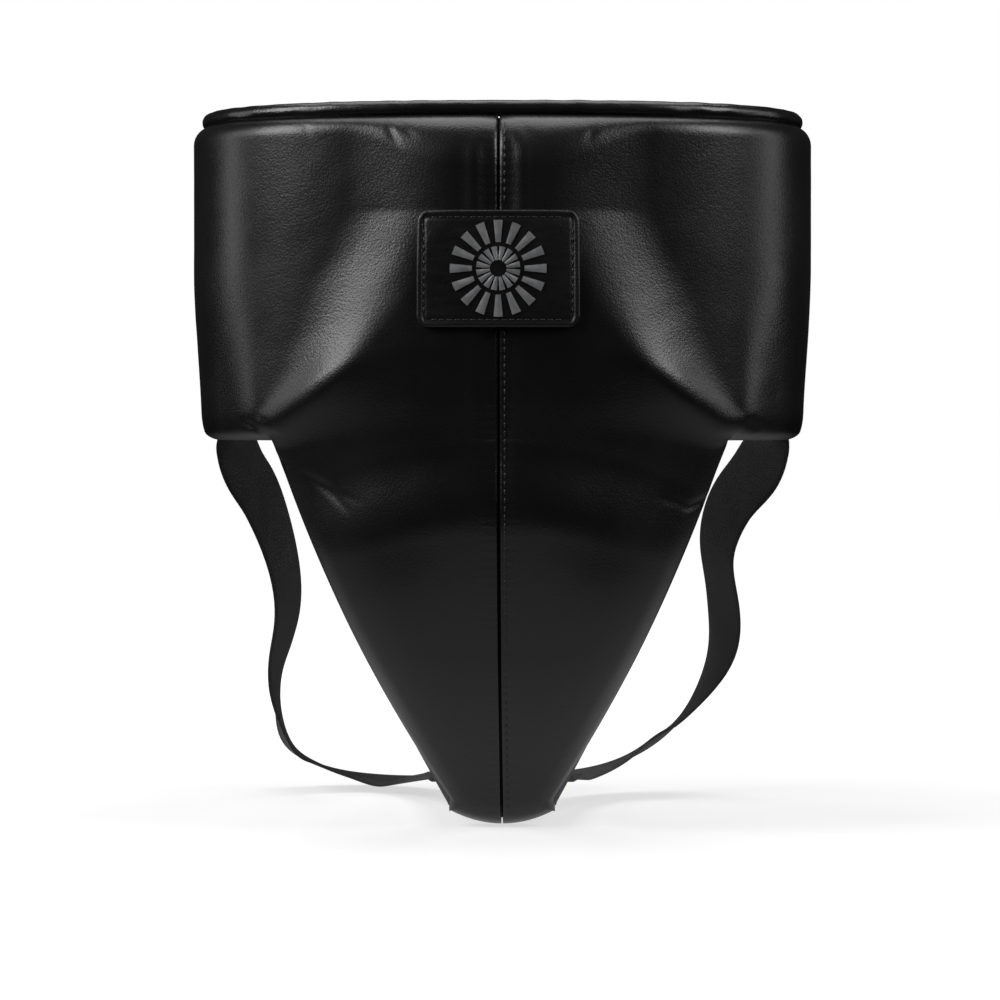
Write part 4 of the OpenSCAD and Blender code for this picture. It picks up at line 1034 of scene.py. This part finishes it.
def webbing_piece(name, mids, across, start_run):
    """Webbing along a path: a flat ribbon with thinner selvedges."""
    t = np.gradient(mids, axis=0)
    t = t / np.linalg.norm(t, axis=1, keepdims=True)
    w = across - t * np.sum(across * t, axis=1, keepdims=True)
    w = w / np.linalg.norm(w, axis=1, keepdims=True)
    n = np.cross(t, w)
    v = crowded(19, 0.5)
    half = STRAP_T / 2 * (0.55 + 0.45 * bulge(1 - np.abs(v), 0.10)) * np.where(np.abs(v) > 0.999, 0.4, 1.0)
    run = start_run + run_along(mids)
    flat = mids[:, None, :] + w[:, None, :] * (v * STRAP_W / 2)[None, :, None]
    rise = n[:, None, :] * half[None, :, None]
    piece = slab(name, flat + rise, flat - rise)
    lay_uv(piece, run[:, None], v[None, :] * STRAP_W / 2)
    piece.data.set_sharp_from_angle(angle=np.radians(50))
    piece.data.materials.append(webbing)
    return piece, run[-1]


STEPS = 8  # points of the curve from one place of a route to the next
CALM = 9  # half width of the window that smooths it
for side, word, route, cut in ((-1, "left", LEFT_ROUTE, 7), (1, "right", RIGHT_ROUTE, 9)):
    laid = np.array(route)
    root_now = wrap(STRAP_A, 0.0, ROOT_D) * (side, 1, 1)
    tip_now = on_back(STRAP_W / 2 + 0.0006, END_LOW, 0.0003) * (side, 1, 1)
    share = np.linspace(0, 1, len(laid))[:, None]
    moved_by = (root_now - ROOT_LAID * (side, 1, 1)) * (1 - share) + (tip_now - TIP_LAID * (side, 1, 1)) * share
    mids = laid[:, :3] / 1000 + moved_by
    mids[-4:, 0] -= side * 0.0035 * np.array([0.4, 0.8, 1.0, 1.0])
    mids[-5:, 2] += np.array([0.004, 0.008, 0.012, 0.006, 0.0])
    root_up = np.array([0.034, 0.022, 0.010, 0.000])
    root_mid = wrap(STRAP_A, root_up, ROOT_D) * (side, 1, 1)
    root_nx, root_ny = outward(STRAP_A)
    root_across = np.array([(-side * root_ny, root_nx, 0.0)] * 3 + [(-side * 0.45, 0.89, 0.0)])
    root_mid[3, 0] -= side * 0.0015
    end_x = STRAP_W / 2 + 0.0006 - np.array([0.0033, 0.0022, 0.0])
    end_d = 0.0013 + (0.0007 if side > 0 else 0.0)
    end_mid = on_back(end_x, np.array([END_LOW + 0.003, END_LOW + 0.014, END_HIGH]), end_d) * (side, 1, 1)
    end_across = np.repeat([laid[-1, 3:]], 3, 0)
    whole = np.concatenate([root_mid, mids[1:], end_mid])
    whole_across = np.concatenate([root_across, laid[1:, 3:], end_across])
    both = through(np.concatenate([whole, whole_across], 1), STEPS)
    window = np.hanning(2 * CALM + 3)[1:-1] / np.hanning(2 * CALM + 3).sum()
    padded = np.pad(both, ((CALM, CALM), (0, 0)), mode="reflect", reflect_type="odd")
    calm = np.stack([np.convolve(column, window, "valid") for column in padded.T], 1)
    step = np.arange(len(both))[:, None]
    both = mix(both, calm, np.clip((step - 20) / 8, 0, 1) * np.clip((len(both) - 44 - step) / 10, 0, 1))
    split = (3 + cut) * STEPS
    first, second = both[:split + 1], both[split:]
    upper, upper_run = webbing_piece("strap_" + word + "_upper", first[:, :3], first[:, 3:], 0.0)
    lower, lower_run = webbing_piece("strap_" + word + "_lower", second[:, :3], second[:, 3:], upper_run)
    body = "leg_strap_" + word
    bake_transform(upper)
    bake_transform(lower)
    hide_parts("strap_root_" + word, body)
    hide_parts("strap_end_" + word)

# thread bars across both roots, on the lining side: close zigzag stitches, two bars a root
bar_i = np.arange(22)
bar_a = STRAP_A + np.radians(6.6) * (bar_i / 10.5 - 1)
bar_rows = np.array([0.008, 0.024])
za, zh = np.meshgrid(bar_a, bar_rows)
za, zh = za.ravel(), zh.ravel()
turn_step = np.radians(0.55)
bars_start = np.concatenate([wrap(s * za, zh - 0.0012, -0.0001) for s in (-1, 1)])
bars_end = np.concatenate([wrap(s * (za + turn_step), zh + 0.0012, -0.0001) for s in (-1, 1)])
bars_in = -np.concatenate([np.stack(outward(s * za) + (0 * za,), -1) for s in (-1, 1)])
bartacks = stitches("root_bartack_thread", bars_start, bars_end, bars_in, 0.0008, 0.0007)
on_shell(bartacks, thread, "root_bartacks")

# ---------------------------------------------------------------------------
# Tip patch: a strip of the shell's leather over both lower strap ends, sewn down in two rows.
# It lies as far behind the lining as the two layers of webbing under it are thick.
# ---------------------------------------------------------------------------
PATCH_D = 0.0040
PATCH_HALF = 0.0395
patch_u = np.linspace(-1, 1, 61)[None, :]
patch_h = np.linspace(END_LOW + 0.004, END_HIGH + 0.003, 30)[:, None]
patch_x = patch_u * PATCH_HALF * np.minimum(1, (cup_x(patch_h) - 0.004) / PATCH_HALF)
patch_e = np.minimum(patch_h - patch_h[0], patch_h[-1] - patch_h)
patch_e = np.minimum((1 - np.abs(patch_u)) * PATCH_HALF, patch_e)
patch_thick = (0.0013 + 0.00012 * waves(patch_x, patch_h, 0.02, 41)) * (0.3 + 0.7 * bulge(patch_e, 0.0012))
patch = slab("tip_patch_leather", on_back(patch_x, patch_h, PATCH_D + patch_thick),
             on_back(patch_x, patch_h, PATCH_D - 0.0004))
on_shell(patch, leather, "tip_patch")

row_x = np.arange(-0.034, 0.0335, 0.0040)
sx, sh = np.meshgrid(row_x, np.array([END_HIGH - 0.0005, END_LOW + 0.007]))
sx, sh = sx.ravel(), sh.ravel()


def behind_patch(x, h):
    """The tip patch's own face."""
    return on_back(x, h, PATCH_D + 0.0014)


patch_out = facing(behind_patch, sx, sh)
patch_out = patch_out * np.sign(patch_out[:, 1:2])
tip_thread = stitches("tip_thread", behind_patch(sx, sh), behind_patch(sx + 0.0028, sh), patch_out,
                      0.0008, 0.0007)
on_shell(tip_thread, thread, "tip_stitching")

# ---------------------------------------------------------------------------
# Waist belt: wide woven elastic sewn into the left flap's rear end, closed behind the right flap by a
# leather tab with hook tape on loop tape. A leather doubler backs the seam on the left flap.
# ---------------------------------------------------------------------------
belt_low, belt_high = heights("waist_elastic")
BELT_LOW = belt_low - FLAP_LOW
BELT_HIGH = belt_high - FLAP_LOW
BELT_T = 0.0024
BELT_END = 2 * np.pi - FLAP_END - np.radians(1.5)
TAPE_T = 0.0014
TAB_D = FLAP_T + 2 * TAPE_T + 0.0006
TAB_T = 0.0025
TAB_START = BELT_END + np.radians(0.3)
TAB_END = BELT_END + np.radians(26)


def round_back(a, h, d):
    """A point of the belt: the angle counts from the front over the left side, so x is turned round."""
    return wrap(a, h, d) * (-1, 1, 1)


def belt_d(a):
    """Depth of the belt's inner face: it leaves the left flap's end and passes outside the right one."""
    return mix((EDGE_T - BELT_T) / 2, TAB_D, ease(FLAP_END + np.radians(20), BELT_END - np.radians(6), a))


def strip_edge(a, z):
    """Distance to the nearest border of a strip over a row of angles and a column of heights."""
    return np.minimum(np.minimum(a - a[0, 0], a[0, -1] - a) * ARC, np.minimum(z - z[0], z[-1] - z))


def tab_depth(a):
    """Depth of the tab's inner face: it steps down from the belt's outer face to the hook tape's."""
    return TAB_D + (BELT_T + 0.0002) * (1 - ease(TAB_START - np.radians(0.6), TAB_START + np.radians(2.5), a))


def on_tab(piece, look, node):
    """Gives a piece its material and bakes its place into its mesh, in the place of a CAD node."""
    piece.data.materials.append(look)
    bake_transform(piece)
    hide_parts(node)


belt_a = np.linspace(FLAP_END - np.radians(3.5), BELT_END, 190)[None, :]
belt_u = crowded(41, 0.4)[:, None]
belt_z = mix(BELT_LOW, BELT_HIGH, (belt_u + 1) / 2)
belt_wave = 0.0005 * waves(belt_a * 0.11, belt_z, 0.05, 51) * ease(FLAP_END, FLAP_END + 0.2, belt_a)
selvedge = 0.35 + 0.65 * bulge(1 - np.abs(belt_u), 0.03)
belt_mid = belt_d(belt_a) + BELT_T / 2 + belt_wave
belt_half = BELT_T / 2 * selvedge
belt = slab("waist_elastic_cloth", round_back(belt_a, belt_z, belt_mid + belt_half),
            round_back(belt_a, belt_z, belt_mid - belt_half))
belt_run = run_along(round_back(belt_a[0], 0.08, belt_d(belt_a[0]) + BELT_T / 2))
lay_uv(belt, belt_run[None, :], belt_z)
elastic = cloth_look("belt_elastic", (0.008, 0.008, 0.009), (0.046, 0.046, 0.050), 0.0021, 0.0012, 0.00035,
                     0.75, 0.10)
belt.data.materials.append(elastic)
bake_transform(belt)
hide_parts("waist_elastic")

tab_a = np.linspace(TAB_START - np.radians(5.0), TAB_END, 80)[None, :]
tab_u = crowded(31, 0.5)[:, None]
tab_round = 0.012 * (1 - np.sqrt(1 - ease(TAB_END - np.radians(6.5), TAB_END, tab_a) ** 2 * 0.999))
tab_half = (BELT_HIGH - BELT_LOW) / 2 - tab_round
tab_z = (BELT_LOW + BELT_HIGH) / 2 + tab_u * tab_half
tab_e = np.minimum((1 - np.abs(tab_u)) * tab_half, np.minimum(tab_a - tab_a[0, 0], tab_a[0, -1] - tab_a) * ARC)
tab_thick = (TAB_T + 0.00012 * waves(tab_a * 0.12, tab_z, 0.02, 61)) * (0.35 + 0.65 * bulge(tab_e, 0.0015))
tab = slab("hook_tab_leather", round_back(tab_a, tab_z, tab_depth(tab_a) + tab_thick),
           round_back(tab_a, tab_z, tab_depth(tab_a)))
on_tab(tab, leather, "hook_tab")

hook_look = plain_look("hook_tape", (0.006, 0.006, 0.0065), (0.020, 0.020, 0.022), 0.45, 0.0007, 0.0005)
hook_a = np.linspace(TAB_START + np.radians(4), TAB_END - np.radians(2), 50)[None, :]
hook_z = np.linspace(BELT_LOW + 0.006, BELT_HIGH - 0.006, 25)[:, None]
hook = slab("hook_tape_strip", round_back(hook_a, hook_z, TAB_D + 0.0001),
            round_back(hook_a, hook_z, TAB_D - TAPE_T))
on_tab(hook, hook_look, "hook_patch")

st_a, st_z = np.meshgrid(np.linspace(TAB_START - np.radians(3.5), TAB_END - np.radians(6.5), 26),
                         np.array([BELT_LOW + 0.0035, BELT_HIGH - 0.0035]))
st_a, st_z = st_a.ravel(), st_z.ravel()
st_end = st_a + np.radians(0.70)
st_d = tab_depth(st_a) + TAB_T + 0.0001
st_up = np.stack(outward(st_a) + (0 * st_a,), -1) * (-1, 1, 1)
tab_thread = stitches("tab_thread", round_back(st_a, st_z, st_d), round_back(st_end, st_z, st_d), st_up,
                      0.0008, 0.0007)
on_tab(tab_thread, thread, "tab_stitching")

loop_a = np.linspace(FLAP_END - np.radians(26), FLAP_END - np.radians(3), 60)[None, :]
loop_z = np.linspace(BELT_LOW, BELT_HIGH, 40)[:, None]
loop_skin = on_flank(loop_a, loop_z)
loop_out = np.stack(outward(loop_a) + (0 * loop_a,), -1)
loop_up = (0.0003 + TAPE_T * (0.4 + 0.6 * bulge(strip_edge(loop_a, loop_z), 0.0012)))[..., None]
loop = slab("loop_tape_strip", loop_skin + loop_out * loop_up, loop_skin - loop_out * 0.0003)
pile = plain_look("loop_tape", (0.006, 0.006, 0.0065), (0.022, 0.022, 0.024), 0.95, 0.0005, 0.0006, 0.0, 0.2)
on_shell(loop, pile, "loop_patch")

root_a = np.linspace(FLAP_END - np.radians(9), FLAP_END - np.radians(1.2), 30)[None, :]
root_z = np.linspace(BELT_LOW, BELT_HIGH, 40)[:, None]
root_end = np.minimum((FLAP_END - root_a) * ARC, 0.05)
root_depth = skin_depth(1, along(root_a), root_z, root_end)
root_rise = 0.0016 * (0.3 + 0.7 * bulge(strip_edge(root_a, root_z), 0.0012))
doubler = slab("belt_root_leather", round_back(root_a, root_z, root_depth + root_rise),
               round_back(root_a, root_z, root_depth - 0.0003))
on_shell(doubler, leather, "belt_root_tab")
